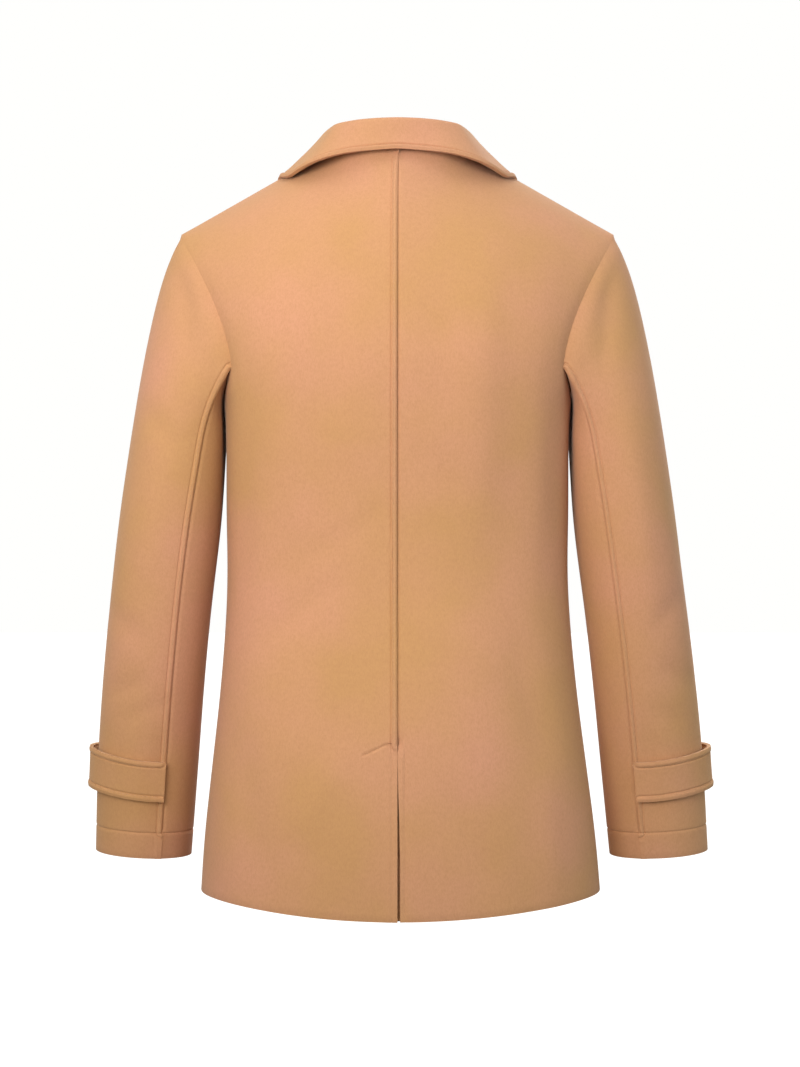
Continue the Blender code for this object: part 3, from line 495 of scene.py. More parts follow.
# %% [markdown]
# ## Raised seams
# At a lapped seam one edge lies on the other and is stitched down. The cloth between the
# edge and the stitches stands up as a small ridge, the stitches pull a groove, and the
# covered side sinks. So the depth of each point follows from its distance to the seam.
# The faces beside the seam are first cut finer, or the groove would fall between points.

# %% Find runs of the open edge
SHORTEST_RUN = 4              # points


def edge_runs(form, keep):
    """Runs of the open edge whose points pass a test, each with its inward directions."""
    links, inward = {}, {}
    for edge in form.edges:
        if not edge.is_boundary or not all(keep(point.co) for point in edge.verts):
            continue
        start, end = edge.verts
        for point, other in ((start, end), (end, start)):
            links.setdefault(point.index, []).append(other.index)
            inward.setdefault(point.index, []).append(way_inward(edge))
    form.verts.ensure_lookup_table()
    runs, seen = [], set()
    ends = sorted(links, key=lambda index: len(links[index]))
    for first in ends:
        if first in seen:
            continue
        chain, at = [first], first
        seen.add(first)
        while True:
            ahead = [index for index in links[at] if index not in seen]
            if not ahead:
                break
            at = ahead[0]
            seen.add(at)
            chain.append(at)
        if len(chain) >= SHORTEST_RUN:
            places = np.array([form.verts[index].co for index in chain])
            ways = np.array([sum(inward[index], Vector()).normalized() for index in chain])
            runs.append((places, ways))
    return runs


def even_places(places, ways, pitch):
    """Places at an even pitch along a run, with their inward directions."""
    lengths = np.linalg.norm(np.diff(places, axis=0), axis=1)
    steps = np.concatenate(([0.0], np.cumsum(lengths)))
    marks = np.arange(pitch, steps[-1] - pitch / 2, pitch)

    def at_marks(values):
        return np.stack([np.interp(marks, steps, column) for column in values.T], axis=1)

    return at_marks(places), at_marks(ways)


# %% The profile of each kind of seam
SEAM_INSETS = {"lapped": 0.0064, "rolled": 0.0061, "tab": 0.0064}   # from edge to stitches
# centre, width and depth of each hollow, in metres; a negative depth is a ridge
PROFILES = {
    "lapped": ((0.0, 0.0011, 0.0016), (0.0030, 0.0020, -0.0006),
               (SEAM_INSETS["lapped"], 0.0009, 0.0011)),
    "covered": ((0.0, 0.0022, 0.0021),),
    "armhole": ((0.0, 0.0050, 0.0009), (0.0140, 0.0070, -0.0005)),
    "rolled": ((0.0, 0.0050, 0.0014), (0.0028, 0.0020, -0.0014),
               (SEAM_INSETS["rolled"], 0.0010, 0.0020)),
    "tab": ((0.0030, 0.0020, -0.0006), (SEAM_INSETS["tab"], 0.0010, 0.0010)),
}
NEAR_SEAM = 0.0095            # how far from it the cloth is cut finer
FINE_STEP = 0.0006            # between the places at which a seam is known


def seam_tree(form, keep):
    """A search tree of places along part of the open edge."""
    runs = edge_runs(form, keep)
    return search_tree(np.concatenate([even_places(*run, FINE_STEP)[0] for run in runs]))


def cut_finer(skin, near):
    """Cuts the faces that a test picks into four each."""
    pick(skin)
    bpy.ops.object.mode_set(mode="EDIT")
    bpy.ops.mesh.select_mode(type="FACE")
    form = bmesh.from_edit_mesh(skin.data)
    for face in form.faces:
        face.select_set(bool(near(face.calc_center_median())))
    bmesh.update_edit_mesh(skin.data)
    bpy.ops.mesh.subdivide(number_cuts=1, smoothness=0.0)
    bpy.ops.object.mode_set(mode="OBJECT")


def shape_seam(skin, kind, keep):
    """Raises and sinks the cloth beside part of its edge."""
    form = form_of(skin)
    tree = seam_tree(form, keep)
    form.free()
    cut_finer(skin, lambda middle: tree.find(middle)[2] < NEAR_SEAM)
    places, _ = read_points(skin)
    away = np.array([tree.find(place)[2] for place in places])
    depths = np.zeros(len(places))
    for centre, width, depth in PROFILES[kind]:
        depths += depth * np.exp(-((away - centre) / width) ** 2)
    sink(skin, depths)
    print(skin.name, kind, "seam, points beside it:", int((away < NEAR_SEAM).sum()))


# %% Which part of each edge is which seam
CUFF_TOP = -0.728             # just above the cuff's edge
CORNER = -0.2195              # where the elbow seam meets the armhole
ELBOW_BACK = -0.02            # the elbow seam runs behind this
CENTRE_HALF = 0.004           # the centre seam stays within this of the middle
VENT_TOP = -0.602             # where it ends
LAPEL_LOW = -0.4195           # above all of the tabs and below the lapels
TAB_SEAM = (0.2460, 0.2510)   # how far out each tab's end in the elbow seam reaches


def on_centre_seam(p):
    """The seam down the middle of the back, as far as the vent."""
    return abs(p.x) < CENTRE_HALF and VENT_TOP < p.z < 0.0


def on_elbow(p):
    """The seam down the back of a sleeve, from the armhole to the cuff."""
    return p.y < ELBOW_BACK and CUFF_TOP < p.z < CORNER


def on_sleeve_head(p):
    """The armhole's seam, on a sleeve, but for the shoulder's tip."""
    return CORNER < p.z < ARMHOLE_HIGH


def on_fall(p):
    """The collar's outer edge."""
    return not round_neck(p)


def on_free_edge(p):
    """The edge of a lapel or a cuff tab, but for the tab's end in the elbow seam."""
    return p.z > LAPEL_LOW or abs(p.x) > TAB_SEAM[p.x > 0]


SEAMS = {
    "back_left": (("lapped", on_centre_seam), ("armhole", on_armhole)),
    "back_right": (("covered", on_centre_seam), ("armhole", on_armhole)),
    "front": (("armhole", on_armhole),),
    "collar": (("rolled", on_fall),),
    "top_sleeve": (("lapped", on_elbow), ("armhole", on_sleeve_head)),
    "under_sleeve": (("covered", on_elbow),),
    "cuff_tab": (("tab", on_free_edge),),
    "lapel": (("tab", on_free_edge),),
}


def seams_of(name):
    """The seams of a piece, found by the start of its name."""
    return next(seams for start, seams in SEAMS.items() if name.startswith("wool_" + start))


# %% [markdown]
# ## The vent
# The vent's turned-in layer is held by one slanting row of stitches, which pulls a short
# groove in the wearer's left back. Below it the left back lies over the right. The solids
# have a plain step there. Here the step is deepened and moved under the covering edge, so
# that a dark gap shows, which widens towards the hem.

# %% Sink the slanting groove
SLANT = np.array(((-0.0345, -0.6110), (-0.0075, -0.5985)))    # its two ends, as x and z
SLANT_NEAR = 0.007
SLANT_WIDTH = 0.0010
SLANT_DEPTH = 0.0012


def slant_distance(x, z):
    """Distance of places from the slanting row, in the view from the back."""
    start, run = SLANT[0], SLANT[1] - SLANT[0]
    offset = np.stack((x, z), axis=-1) - start
    share = np.clip(offset @ run / (run @ run), 0.0, 1.0)
    return np.linalg.norm(offset - share[..., None] * run, axis=-1)


def sink_slant(skin):
    """Sinks the groove, after cutting the faces beside it finer, twice."""
    for _ in range(2):
        cut_finer(skin, lambda middle: slant_distance(middle.x, middle.z) < SLANT_NEAR)
    places, _ = read_points(skin)
    away = slant_distance(places[:, 0], places[:, 2])
    sink(skin, SLANT_DEPTH * np.exp(-(away / SLANT_WIDTH) ** 2))


# %% Part the vent's two layers
VENT_START = (0.598, 0.612)   # depths between which the seam turns into the vent
VENT_OPEN = (0.610, 0.720)    # and between which its layers part
WELT_RISE = 0.0012            # height of the seam's ridge on the solids
WELT_EDGE = (0.0056, 0.0075)  # and where it ends, out from the middle
COVER_LIFT = 0.0012           # how far the covering edge stands away at the hem
COVER_NEAR = 0.013            # and how far out that is felt
STEP_NOW = 0.0040             # how far the solids' covered layer lies in
STEP_DEPTH = 0.0080           # how far it sinks here
STEP_END = (0.0006, 0.0030)   # how far past the middle it is up again, at top and hem
STEP_SLOPE = (0.0014, 0.0008) # over which it comes up, before that place and past it
FINE_SIDES = (-0.004, 0.009)  # the covered layer is cut finer between these
UNDERLAP_SIDE = -0.05         # it reaches no further than this under the cover


def lift_cover(skin):
    """Levels the seam's ridge on the covering edge, and lets it stand away."""
    places, _ = read_points(skin)
    out, down = places[:, 0], -places[:, 2]
    ridge = WELT_RISE * (1 - soft_step(np.abs(out), *WELT_EDGE))
    lift = COVER_LIFT * soft_step(down, *VENT_OPEN) * np.exp(-(out / COVER_NEAR) ** 2)
    sink(skin, ridge * soft_step(down, *VENT_START) - lift)


def sink_covered(skin):
    """Moves the step of the covered layer out, and deepens it."""
    low, high = FINE_SIDES
    for _ in range(2):
        cut_finer(skin, lambda middle: middle.z < VENT_TOP and low < middle.x < high)
    places, _ = read_points(skin)
    out, down = places[:, 0], -places[:, 2]
    edge = np.interp(soft_step(down, *VENT_OPEN), (0.0, 1.0), STEP_END)
    before, past = STEP_SLOPE
    step_now = np.interp(out, (0.0, *WELT_EDGE), (STEP_NOW, STEP_NOW / 2, 0.0))
    step_then = STEP_DEPTH * (1 - soft_step(out, edge - before, edge + past))
    share = soft_step(down, *VENT_START) * (out > UNDERLAP_SIDE)
    sink(skin, (step_then - step_now) * share)


# %% [markdown]
# ## How the tabs and the collar's ends lie
# The tabs are stiff and stand off the sleeves a little at their outer side. The ends of
# the collar's fall are soft and lie down on the shoulders.

# %% Bow the tabs, and settle the collar's ends
TAB_BOW = 0.0020
TAB_MIDDLE = 0.020            # how far forward the tabs stand out most
TAB_HALF = 0.056              # and how far from there they lie as before
END_FROM = (0.100, 0.124)     # how far out the fall's ends begin, and are in full
END_SINK = 0.0020


def stand_off(skin):
    """Lets a tab bow out a little further at the sleeve's outer side."""
    places, _ = read_points(skin)
    share = np.clip(1 - ((places[:, 1] - TAB_MIDDLE) / TAB_HALF) ** 2, 0.0, 1.0)
    move(skin, 0, TAB_BOW * share ** 2 * np.sign(places[:, 0]))


def settle_ends(skin):
    """Lets the fall's ends lie down on the shoulders."""
    places, _ = read_points(skin)
    move(skin, 2, -END_SINK * soft_step(np.abs(places[:, 0]), *END_FROM))


# %% [markdown]
# ## From skin to cloth
# Subdivision turns the coarse skin into a smooth sheet. The folds go in next. Then
# Solidify gives the cloth its wall, inward, so that the outline stays where it is, and a
# small bevel takes the sharpness from its cut edges, because wool is soft there too.

# %% Every piece of cloth, and how it is made
# node, way that its outside looks, thickness, width of the bevel on its cut edges
CLOTH_PIECES = (
    ("back_left", (0, -1, 0), CLOTH, 0.0006), ("back_right", (0, -1, 0), CLOTH, 0.0006),
    ("front_left", (0, 1, 0), CLOTH, 0.0006), ("front_right", (0, 1, 0), CLOTH, 0.0006),
    ("lapel_left", (0, 1, 0), CLOTH, 0.0007), ("lapel_right", (0, 1, 0), CLOTH, 0.0007),
    ("collar", (0, -0.8, 0.6), COLLAR_CLOTH, 0.0010),
    ("top_sleeve_left", (-1, 0, 0), CLOTH, 0.0006),
    ("top_sleeve_right", (1, 0, 0), CLOTH, 0.0006),
    ("under_sleeve_left", (1, 0, 0), CLOTH, 0.0006),
    ("under_sleeve_right", (-1, 0, 0), CLOTH, 0.0006),
    ("cuff_tab_left", (-1, 0, 0), TAB_CLOTH, 0.0012),
    ("cuff_tab_right", (1, 0, 0), TAB_CLOTH, 0.0012),
)
SUBDIVISIONS = 2
CUT_EDGE = radians(55)        # an edge sharper than this is a cut edge
SMOOTH_EDGE = radians(50)     # and one less sharp than this is shaded smooth


def prepare(skin):
    """Shapes what has to be in place before a skin is subdivided."""
    draw_out_edges(skin)
    if "back" in skin.name:
        raise_nape(skin)
    if "top_sleeve" in skin.name:
        hold_tip(skin)
    if "tab" in skin.name:
        sew_in_tab(skin)
    if "sleeve" in skin.name:
        cut_cuff_rows(skin)


def shape(skin):
    """Gives a smooth skin its folds, its seams and the way that it lies."""
    if "tab" not in skin.name and "collar" not in skin.name:
        drape(skin)
    if "sleeve" in skin.name:
        sink_cuff_groove(skin)
    for kind, keep in seams_of(skin.name):
        shape_seam(skin, kind, keep)
    if skin.name == "wool_back_left":
        sink_slant(skin)
        lift_cover(skin)
    if skin.name == "wool_back_right":
        sink_covered(skin)
    if skin.name == "wool_collar":
        settle_ends(skin)
    if "tab" in skin.name:
        stand_off(skin)


skins = {}
cloth = {}
for node, toward, thickness, soft_edge in CLOTH_PIECES:
    piece = outer_skin(node, "wool_" + node, toward, thickness)
    prepare(piece)
    finish_modifier(piece, "SUBSURF", levels=SUBDIVISIONS, render_levels=SUBDIVISIONS,
                    boundary_smooth="PRESERVE_CORNERS")
    shape(piece)
    skins[piece.name] = form_of(piece)
    finish_modifier(piece, "SOLIDIFY", thickness=thickness, offset=-1.0, use_even_offset=False)
    finish_modifier(piece, "BEVEL", width=soft_edge, segments=2, limit_method="ANGLE",
                    angle_limit=CUT_EDGE)
    pick(piece)
    bpy.ops.object.shade_smooth_by_angle(angle=SMOOTH_EDGE)
    cloth[node] = piece
    print(piece.name, "finished with", len(piece.data.polygons), "faces")

# %% [markdown]
# ## Topstitching
# The seams and edges are held flat by rows of stitches in thread of the cloth's own
# colour. One stitch is modelled once: a small ball, drawn out to a grain. It is copied
# along each row, every copy lying on the cloth. The rows are found from the edges of the
# skins: a run of edge points is moved inward by the width of the seam.

# %% One stitch
STITCH_LENGTH = 0.0030
STITCH_PITCH = 0.0042
THREAD_RADIUS = 0.00032
THREAD_RISE = 0.2             # how far a stitch's middle lies above the cloth, in radii

bpy.ops.object.select_all(action="DESELECT")
bpy.ops.mesh.primitive_uv_sphere_add(segments=6, ring_count=5, radius=1.0)
stitch = bpy.context.active_object
stitch_points, _ = read_points(stitch)
stitch_faces = [tuple(face.vertices) for face in stitch.data.polygons]
stitch_half = np.array((STITCH_LENGTH / 2, THREAD_RADIUS, THREAD_RADIUS))
stitch_points = stitch_points[:, [2, 0, 1]] * stitch_half
stitch_mesh = stitch.data
bpy.data.objects.remove(stitch, do_unlink=True)
bpy.data.meshes.remove(stitch_mesh)
print("one stitch:", len(stitch_faces), "faces")


# %% Lay stitches along a row
thread_points, thread_faces = [], []


def lay_stitches(spots, ground, way=None):
    """Lays a row of stitches through the spots, on the nearest cloth or along a way."""
    for number in range(1, len(spots) - 1):
        if way:
            place, normal, _, _ = ground.ray_cast(Vector(spots[number]), Vector(way))
        else:
            place, normal, _, _ = ground.find_nearest(Vector(spots[number]))
        run = Vector(spots[number + 1] - spots[number - 1]).normalized()
        side = normal.cross(run).normalized()
        run = side.cross(normal)
        turn = np.array((run, side, normal))
        base = np.array(place + normal * THREAD_RADIUS * THREAD_RISE)
        first = len(thread_points) * len(stitch_points)
        thread_points.append(stitch_points @ turn + base)
        thread_faces.extend(tuple(first + index for index in face) for face in stitch_faces)


def stitch_edge(name, keep, inset):
    """A row of stitches at a distance inside part of a piece's edge."""
    ground = BVHTree.FromBMesh(skins[name])
    before = len(thread_points)
    for places, ways in edge_runs(skins[name], keep):
        spots, sides = even_places(places, ways, STITCH_PITCH)
        if len(spots) >= SHORTEST_RUN:
            lay_stitches(spots + sides * inset, ground)
    print(name, "stitches:", len(thread_points) - before)


# %% Sew the rows
SLANT_STITCHES = 6
BEHIND = -0.2                 # a place behind the coat, from which the slant is looked for

for name in skins:
    for kind, keep in seams_of(name):
        if kind in SEAM_INSETS:
            stitch_edge(name, keep, SEAM_INSETS[kind])
slant_marks = np.linspace(SLANT[1], SLANT[0], SLANT_STITCHES + 2)
slant_spots = np.array([(x, BEHIND, z) for x, z in slant_marks])
lay_stitches(slant_spots, BVHTree.FromBMesh(skins["wool_back_left"]), (0, 1, 0))
topstitching_mesh = bpy.data.meshes.new("topstitching")
topstitching_mesh.from_pydata(np.concatenate(thread_points).tolist(), [], thread_faces)
topstitching = bpy.data.objects.new("topstitching", topstitching_mesh)
bpy.context.scene.collection.objects.link(topstitching)
pick(topstitching)
bpy.ops.object.shade_smooth()
print("topstitching:", len(thread_points), "stitches,", len(thread_faces), "faces")

# %% [markdown]
# ## Buttons
# A coat button is turned from horn: a disc with a raised rim, a dished middle and four
# holes, sewn on with a cross of thread. It is modelled once, one unit in radius and
# lying flat, and a copy is then placed on each button of the solids.

# %% Turn one button
# in parts of the radius
BUTTON_HALF = 0.14            # half of its thickness
RIM_WIDTH = 0.20
SLOPE_WIDTH = 0.12            # from the rim down into the dish
DISH_DEPTH = 0.09
ROUNDING = 0.035
HOLE_RADIUS = 0.085
HOLE_OUT = 0.20
HOLES = 4

bpy.ops.object.select_all(action="DESELECT")
bpy.ops.mesh.primitive_cylinder_add(vertices=40, radius=1.0, depth=BUTTON_HALF * 2)
master = bpy.context.active_object
bpy.ops.object.mode_set(mode="EDIT")
form = bmesh.from_edit_mesh(master.data)
for face in form.faces:
    face.select_set(face.normal.z > 0.9)
bmesh.update_edit_mesh(master.data)
bpy.ops.mesh.inset(thickness=RIM_WIDTH, depth=0.0)
bpy.ops.mesh.inset(thickness=SLOPE_WIDTH, depth=-DISH_DEPTH)
bpy.ops.object.mode_set(mode="OBJECT")
finish_modifier(master, "BEVEL", width=ROUNDING, segments=2, limit_method="ANGLE",
                angle_limit=radians(20))
for number in range(HOLES):
    angle = pi / 4 + number * 2 * pi / HOLES
    bpy.ops.object.select_all(action="DESELECT")
    bpy.ops.mesh.primitive_cylinder_add(
        vertices=16, radius=HOLE_RADIUS, depth=1.0,
        location=(HOLE_OUT * cos(angle), HOLE_OUT * sin(angle), 0.0))
    drill = bpy.context.active_object
    finish_modifier(master, "BOOLEAN", object=drill, operation="DIFFERENCE")
    bpy.data.objects.remove(drill, do_unlink=True)
print("button:", len(master.data.polygons), "faces")

# %% Sew one cross of thread
TIE_RADIUS = 0.055
TIE_LENGTH = 0.46             # over two holes and a little past them
TIE_HEIGHT = 0.08             # of its middle, above the button's

cross_parts = []
for turn in (pi / 4, -pi / 4):
    bpy.ops.object.select_all(action="DESELECT")
    bpy.ops.mesh.primitive_cylinder_add(
        vertices=10, radius=TIE_RADIUS, depth=TIE_LENGTH,
        rotation=(pi / 2, 0.0, turn), location=(0.0, 0.0, TIE_HEIGHT))
    part = bpy.context.active_object
    bpy.ops.object.transform_apply(location=True, rotation=True, scale=True)
    cross_parts.append(part)
pick(cross_parts[0])
cross_parts[1].select_set(True)
bpy.ops.object.join()
cross = bpy.context.active_object
print("cross of thread:", len(cross.data.polygons), "faces")


# %% Place a copy on each button
def button_frame(node):
    """Centre, outward direction, radius and half thickness of a button of the solids."""
    places, _ = read_points(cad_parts[node])
    middle = (places.max(axis=0) + places.min(axis=0)) / 2
    _, _, axes = np.linalg.svd(places - places.mean(axis=0))
    out = axes[2] if axes[2] @ middle > 0 else -axes[2]
    rise = (places - middle) @ out
    middle = middle + out * (rise.max() + rise.min()) / 2
    flat = (places - middle) - np.outer((places - middle) @ out, out)
    radius, half = np.linalg.norm(flat, axis=1).max(), np.ptp(rise) / 2
    return middle, out, float(radius), float(half)


def placed_copy(source, name, middle, out, radius, half):
    """A copy of a unit piece, with its own mesh, put where a button lies."""
    up = Vector(out)
    side = Vector((0, 0, 1)).cross(up).normalized()
    top = up.cross(side)
    turn = Matrix((side, top, up)).transposed()
    scale = Matrix.Diagonal((radius, radius, half / BUTTON_HALF))
    thing = bpy.data.objects.new(name, source.data.copy())
    thing.data.transform(Matrix.Translation(Vector(middle)) @ (turn @ scale).to_4x4())
    bpy.context.scene.collection.objects.link(thing)
    pick(thing)
    bpy.ops.object.shade_smooth_by_angle(angle=radians(35))
    return thing


BUTTON_NODES = ("front_button_1", "front_button_2", "front_button_3",
                "tab_button_left", "tab_button_right")
buttons, crosses = [], []
for node in BUTTON_NODES:
    spot = button_frame(node)
    buttons.append(placed_copy(master, "horn_" + node, *spot))
    crosses.append(placed_copy(cross, "thread_" + node, *spot))
    print(node, "radius", round(spot[2] * 1000, 1), "mm")
for spare in (master, cross):
    bpy.data.objects.remove(spare, do_unlink=True)


# %% [markdown]
# ## Building blocks for the materials
# Each block adds one shader node, links what it is given and returns its result, so that
# a material reads from the inside out. A value is either a number or another result.

# %% One block for each kind of node
def feed(tree, socket, value):
    """Sets a socket to a number, or links a result to it."""
    if isinstance(value, (int, float)):
        socket.default_value = value
    else:
        tree.links.new(value, socket)


def noise(tree, vector, scale, detail, roughness=0.5):
    """Cloudy noise between 0 and 1; the scale is in waves a metre."""
    node = tree.nodes.new("ShaderNodeTexNoise")
    node.inputs["Detail"].default_value = detail
    node.inputs["Roughness"].default_value = roughness
    feed(tree, node.inputs["Vector"], vector)
    feed(tree, node.inputs["Scale"], scale)
    return node.outputs["Fac"]


def maths(tree, operation, first, second):
    node = tree.nodes.new("ShaderNodeMath")
    node.operation = operation
    feed(tree, node.inputs[0], first)
    feed(tree, node.inputs[1], second)
    return node.outputs[0]


def above(tree, value, low, gain):
    """How far a value stands above a low one, times a gain."""
    return maths(tree, "MULTIPLY", maths(tree, "SUBTRACT", value, low), gain)


def held(tree, value, high):
    """A value, held between 0 and a high one."""
    return maths(tree, "MINIMUM", maths(tree, "MAXIMUM", value, 0.0), high)


def blend_colours(tree, mask, first, second):
    """The first colour where the mask is 0, and the second where it is 1."""
    node = tree.nodes.new("ShaderNodeMix")
    node.data_type = "RGBA"
    feed(tree, node.inputs[0], mask)
    for socket, value in ((node.inputs[6], first), (node.inputs[7], second)):
        if isinstance(value, tuple):
            socket.default_value = (*value, 1.0)
        else:
            tree.links.new(value, socket)
    return node.outputs[2]


def own_place(tree, scale=(1.0, 1.0, 1.0)):
    """Each point's place on its piece, drawn out where the scale is under 1."""
    node = tree.nodes.new("ShaderNodeMapping")
    node.inputs["Scale"].default_value = scale
    coordinates = tree.nodes.new("ShaderNodeTexCoord").outputs["Object"]
    tree.links.new(coordinates, node.inputs["Vector"])
    return node.outputs["Vector"]


def new_material(name):
    """A material with its node tree and its shader."""
    material = bpy.data.materials.new(name)
    material.use_nodes = True
    tree = material.node_tree
    return material, tree, tree.nodes["Principled BSDF"]


# %% [markdown]
# ## Shared effect: mottle
# Brushed wool and horn both vary softly in colour. A group holds a broad and a fine
# noise, each a value between 0 and 1, which each material then turns into colour.

# %% Build the mottle group
mottle = bpy.data.node_groups.new("mottle", "ShaderNodeTree")
for title, kind in (("Vector", "NodeSocketVector"), ("Broad", "NodeSocketFloat"),
                    ("Fine", "NodeSocketFloat")):
    mottle.interface.new_socket(name=title, in_out="INPUT", socket_type=kind)
for title in ("Broad Mask", "Fine Mask"):
    mottle.interface.new_socket(name=title, in_out="OUTPUT", socket_type="NodeSocketFloat")
inside = mottle.nodes.new("NodeGroupInput").outputs
result = mottle.nodes.new("NodeGroupOutput").inputs
feed(mottle, result["Broad Mask"], noise(mottle, inside["Vector"], inside["Broad"], 3.0))
feed(mottle, result["Fine Mask"], noise(mottle, inside["Vector"], inside["Fine"], 4.0, 0.6))
print("mottle group:", len(mottle.nodes), "nodes")


def mottled(tree, vector, broad, fine):
    """The mottle group in a material: its broad and its fine mask."""
    node = tree.nodes.new("ShaderNodeGroup")
    node.node_tree = mottle
    for title, value in (("Vector", vector), ("Broad", broad), ("Fine", fine)):
        feed(tree, node.inputs[title], value)
    return node.outputs["Broad Mask"], node.outputs["Fine Mask"]


# %% [markdown]
# ## Brushed wool
# The cloth is a camel wool, brushed so that short fibres hide the weave. Three things
# make it read as wool: colour that drifts a little from place to place, a fine uneven
# grain of fibres in both colour and height, and a soft sheen where the fibres catch
# light at the edge of a form. The sheen is set on the shader itself.

# %% Mix the wool
WOOL_ROSE = (0.560, 0.272, 0.158)
WOOL_GOLD = (0.500, 0.266, 0.110)
WOOL_DARK = (0.385, 0.180, 0.082)
NAP_LIE = (1.0, 1.0, 0.35)    # the fibres are brushed downward
DARKEST = 0.5                 # share of the dark colour in the grain, at most

wool, tree, shader = new_material("camel_wool_brushed")
place = own_place(tree)
patches, specks = mottled(tree, place, 7.0, 260.0)
nap = noise(tree, own_place(tree, NAP_LIE), 900.0, 5.0, 0.65)
fibre = noise(tree, place, 1500.0, 3.0, 0.6)
drift = blend_colours(tree, held(tree, above(tree, patches, 0.35, 3.0), 1.0), WOOL_GOLD, WOOL_ROSE)
grain = maths(tree, "ADD", above(tree, nap, 0.40, 1.1), above(tree, specks, 0.45, 0.6))
colour = blend_colours(tree, held(tree, grain, DARKEST), drift, WOOL_DARK)
tree.links.new(colour, shader.inputs["Base Color"])
rough = maths(tree, "ADD", maths(tree, "MULTIPLY", nap, 0.12), 0.84)
tree.links.new(rough, shader.inputs["Roughness"])
height = maths(tree, "ADD", maths(tree, "MULTIPLY", nap, 0.7), maths(tree, "MULTIPLY", fibre, 0.5))
bump = tree.nodes.new("ShaderNodeBump")
bump.inputs["Strength"].default_value = 0.45
bump.inputs["Distance"].default_value = 0.0005
tree.links.new(height, bump.inputs["Height"])
tree.links.new(bump.outputs["Normal"], shader.inputs["Normal"])
shader.inputs["Specular IOR Level"].default_value = 0.25
shader.inputs["Sheen Weight"].default_value = 0.18
shader.inputs["Sheen Roughness"].default_value = 0.45
shader.inputs["Sheen Tint"].default_value = (1.0, 0.86, 0.72, 1.0)
print("wool:", len(tree.nodes), "nodes")

# %% [markdown]
# ## Thread and horn
# The thread is the wool's colour, a little darker and smoother. Horn is dark brown with
# paler clouds drawn out along its length, polished, and worn a touch duller in places.

# %% Mix the thread and the horn
THREAD_DARK = (0.40, 0.205, 0.095)
THREAD_LIGHT = (0.56, 0.31, 0.155)
HORN_DARK = (0.050, 0.022, 0.010)
HORN_LIGHT = (0.240, 0.120, 0.055)
HORN_LIE = (1.0, 1.0, 0.4)    # its clouds are drawn out lengthwise

thread, tree, shader = new_material("camel_thread")
twist = noise(tree, own_place(tree), 2400.0, 2.0)
colour = blend_colours(tree, twist, THREAD_DARK, THREAD_LIGHT)
tree.links.new(colour, shader.inputs["Base Color"])
shader.inputs["Roughness"].default_value = 0.6

horn, tree, shader = new_material("brown_horn_polished")
clouds, wear = mottled(tree, own_place(tree, HORN_LIE), 140.0, 900.0)
colour = blend_colours(tree, clouds, HORN_DARK, HORN_LIGHT)
tree.links.new(colour, shader.inputs["Base Color"])
rough = maths(tree, "ADD", maths(tree, "MULTIPLY", wear, 0.20), 0.20)
tree.links.new(rough, shader.inputs["Roughness"])
shader.inputs["Coat Weight"].default_value = 0.25
print("horn:", len(tree.nodes), "nodes")

# %% [markdown]
# ## Put the pieces in place of the solids
# Each finished piece stands for the solid that it was made from, and the table below
# lists the size that each piece of cloth was cut to.

# %% Give each piece its material and put it in place of its solid
# piece, width and length of its cut, and flat area in square metres
CUTS = (
    ("back_left", 0.265, 0.800, 0.194), ("back_right", 0.275, 0.800, 0.202),
    ("front_left", 0.300, 0.800, 0.203), ("front_right", 0.300, 0.800, 0.203),
    ("lapel_left", 0.105, 0.290, 0.0155), ("lapel_right", 0.105, 0.290, 0.0139),
    ("collar", 0.105, 0.470, 0.0463),
    ("top_sleeve_left", 0.250, 0.680, 0.147), ("top_sleeve_right", 0.250, 0.680, 0.147),
    ("under_sleeve_left", 0.135, 0.600, 0.0643), ("under_sleeve_right", 0.135, 0.600, 0.0645),
    ("cuff_tab_left", 0.043, 0.235, 0.0094), ("cuff_tab_right", 0.043, 0.235, 0.0095),
)
for node, width, length, area in CUTS:
    piece = cloth[node]
    piece.data.materials.append(wool)
    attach(piece, "root")
    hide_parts(node)
topstitching.data.materials.append(thread)
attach(topstitching, "root")
for node, button, tie in zip(BUTTON_NODES, buttons, crosses):
    button.data.materials.append(horn)
    tie.data.materials.append(thread)
    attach(button, "root")
    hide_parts(node)
    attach(tie, "root")
print("pieces:", len(CUTS) + 1 + 2 * len(buttons))

# %% [markdown]
# ## Floor, light and camera
# The coat hangs in front of plain white, at the height at which it is worn. A soft light
# near the coat, left of the camera, brightens its back from the shoulders down. A weak
# cool one greys the wearer's right side, one from above lights the shoulders and the
# collar, and one behind the coat is there for views of its front. The white surroundings
# light the rest, and are shown whiter than they shine.

# %% Lay the floor
FLOOR = -1.46                 # where the wearer's feet would stand
FLOOR_SIZE = 40.0
WHITE = (1.0, 1.0, 0.985, 1.0)
FLOOR_GREY = (0.22, 0.22, 0.215, 1.0)    # as the coat sees it; the camera sees it white
bpy.ops.object.select_all(action="DESELECT")
bpy.ops.mesh.primitive_plane_add(size=FLOOR_SIZE, location=(0.0, 0.0, FLOOR))
floor = bpy.context.active_object
floor.name = "studio_floor"
floor_paint, tree, shader = new_material("studio_white")
shader.inputs["Base Color"].default_value = FLOOR_GREY
shader.inputs["Roughness"].default_value = 1.0
shader.inputs["Emission Color"].default_value = WHITE
seen = tree.nodes.new("ShaderNodeLightPath")
tree.links.new(seen.outputs["Is Camera Ray"], shader.inputs["Emission Strength"])
floor.data.materials.append(floor_paint)


# %% Hang the lights
WARM = (1.0, 0.97, 0.94)
NEUTRAL = (1.0, 1.0, 1.0)
COOL = (0.62, 0.86, 1.0)
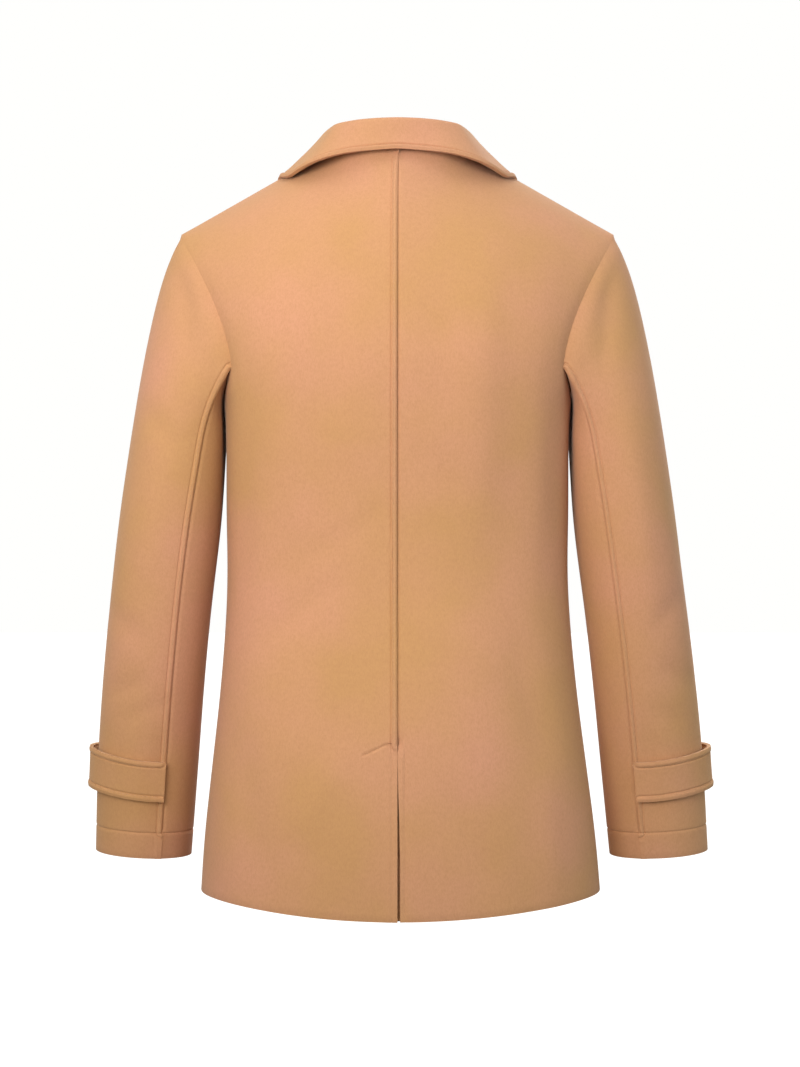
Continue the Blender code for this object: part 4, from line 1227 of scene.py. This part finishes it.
# name, place, aim, size in metres, power in watts, colour, spread in degrees
LIGHTS = (
    ("key", (-0.50, -1.45, 0.00), (0.02, 0.0, -0.20), 0.9, 5.6, WARM, 84),
    ("front_key", (0.80, 1.60, 0.35), (0.0, 0.0, -0.30), 0.9, 24.0, WARM, 180),
    ("top", (-0.2, -0.3, 1.8), (0.0, 0.0, -0.3), 1.4, 15.0, NEUTRAL, 180),
    ("side_fill", (1.5, -0.7, -0.35), (0.15, 0.0, -0.40), 0.8, 3.2, COOL, 180),
)
for name, place, aim, size, power, colour, spread in LIGHTS:
    data = bpy.data.lights.new(name, "AREA")
    data.shape = "SQUARE"
    data.size = size
    data.energy = power
    data.color = colour
    data.spread = radians(spread)
    lamp = bpy.data.objects.new(name, data)
    lamp.location = place
    lamp.visible_camera = False
    lamp.rotation_euler = (Vector(aim) - Vector(place)).to_track_quat("-Z", "Y").to_euler()
    bpy.context.scene.collection.objects.link(lamp)

# %% Surround the coat with white
AROUND = 0.74                 # how strongly the white surroundings light the coat

world = bpy.data.worlds.new("studio")
bpy.context.scene.world = world
world.use_nodes = True
tree = world.node_tree
lit = tree.nodes["Background"]
lit.inputs["Color"].default_value = WHITE
lit.inputs["Strength"].default_value = AROUND
shown = tree.nodes.new("ShaderNodeBackground")
shown.inputs["Color"].default_value = WHITE
path = tree.nodes.new("ShaderNodeLightPath")
choose = tree.nodes.new("ShaderNodeMixShader")
tree.links.new(path.outputs["Is Camera Ray"], choose.inputs[0])
tree.links.new(lit.outputs[0], choose.inputs[1])
tree.links.new(shown.outputs[0], choose.inputs[2])
tree.links.new(choose.outputs[0], tree.nodes["World Output"].inputs["Surface"])
bpy.context.scene.view_settings.view_transform = "Standard"

# %% Set up the camera
FOCAL_PIXELS = 2068.0         # in a frame of 800 by 1067 pixels
FRAME_HEIGHT = 1067
FILM = 36.0                   # millimetres, along the frame's longer side
STANDS_AT = (0.0027, -2.2, -0.389)    # level with the chest, and looking forward

camera_data = bpy.data.cameras.new("camera")
camera_data.sensor_width = FILM
camera_data.lens = FILM * FOCAL_PIXELS / FRAME_HEIGHT
camera = bpy.data.objects.new("camera", camera_data)
camera.location = STANDS_AT
camera.rotation_euler = (radians(90), 0.0, 0.0)
bpy.context.scene.collection.objects.link(camera)
bpy.context.scene.camera = camera
print("lens:", round(camera_data.lens, 1), "mm")
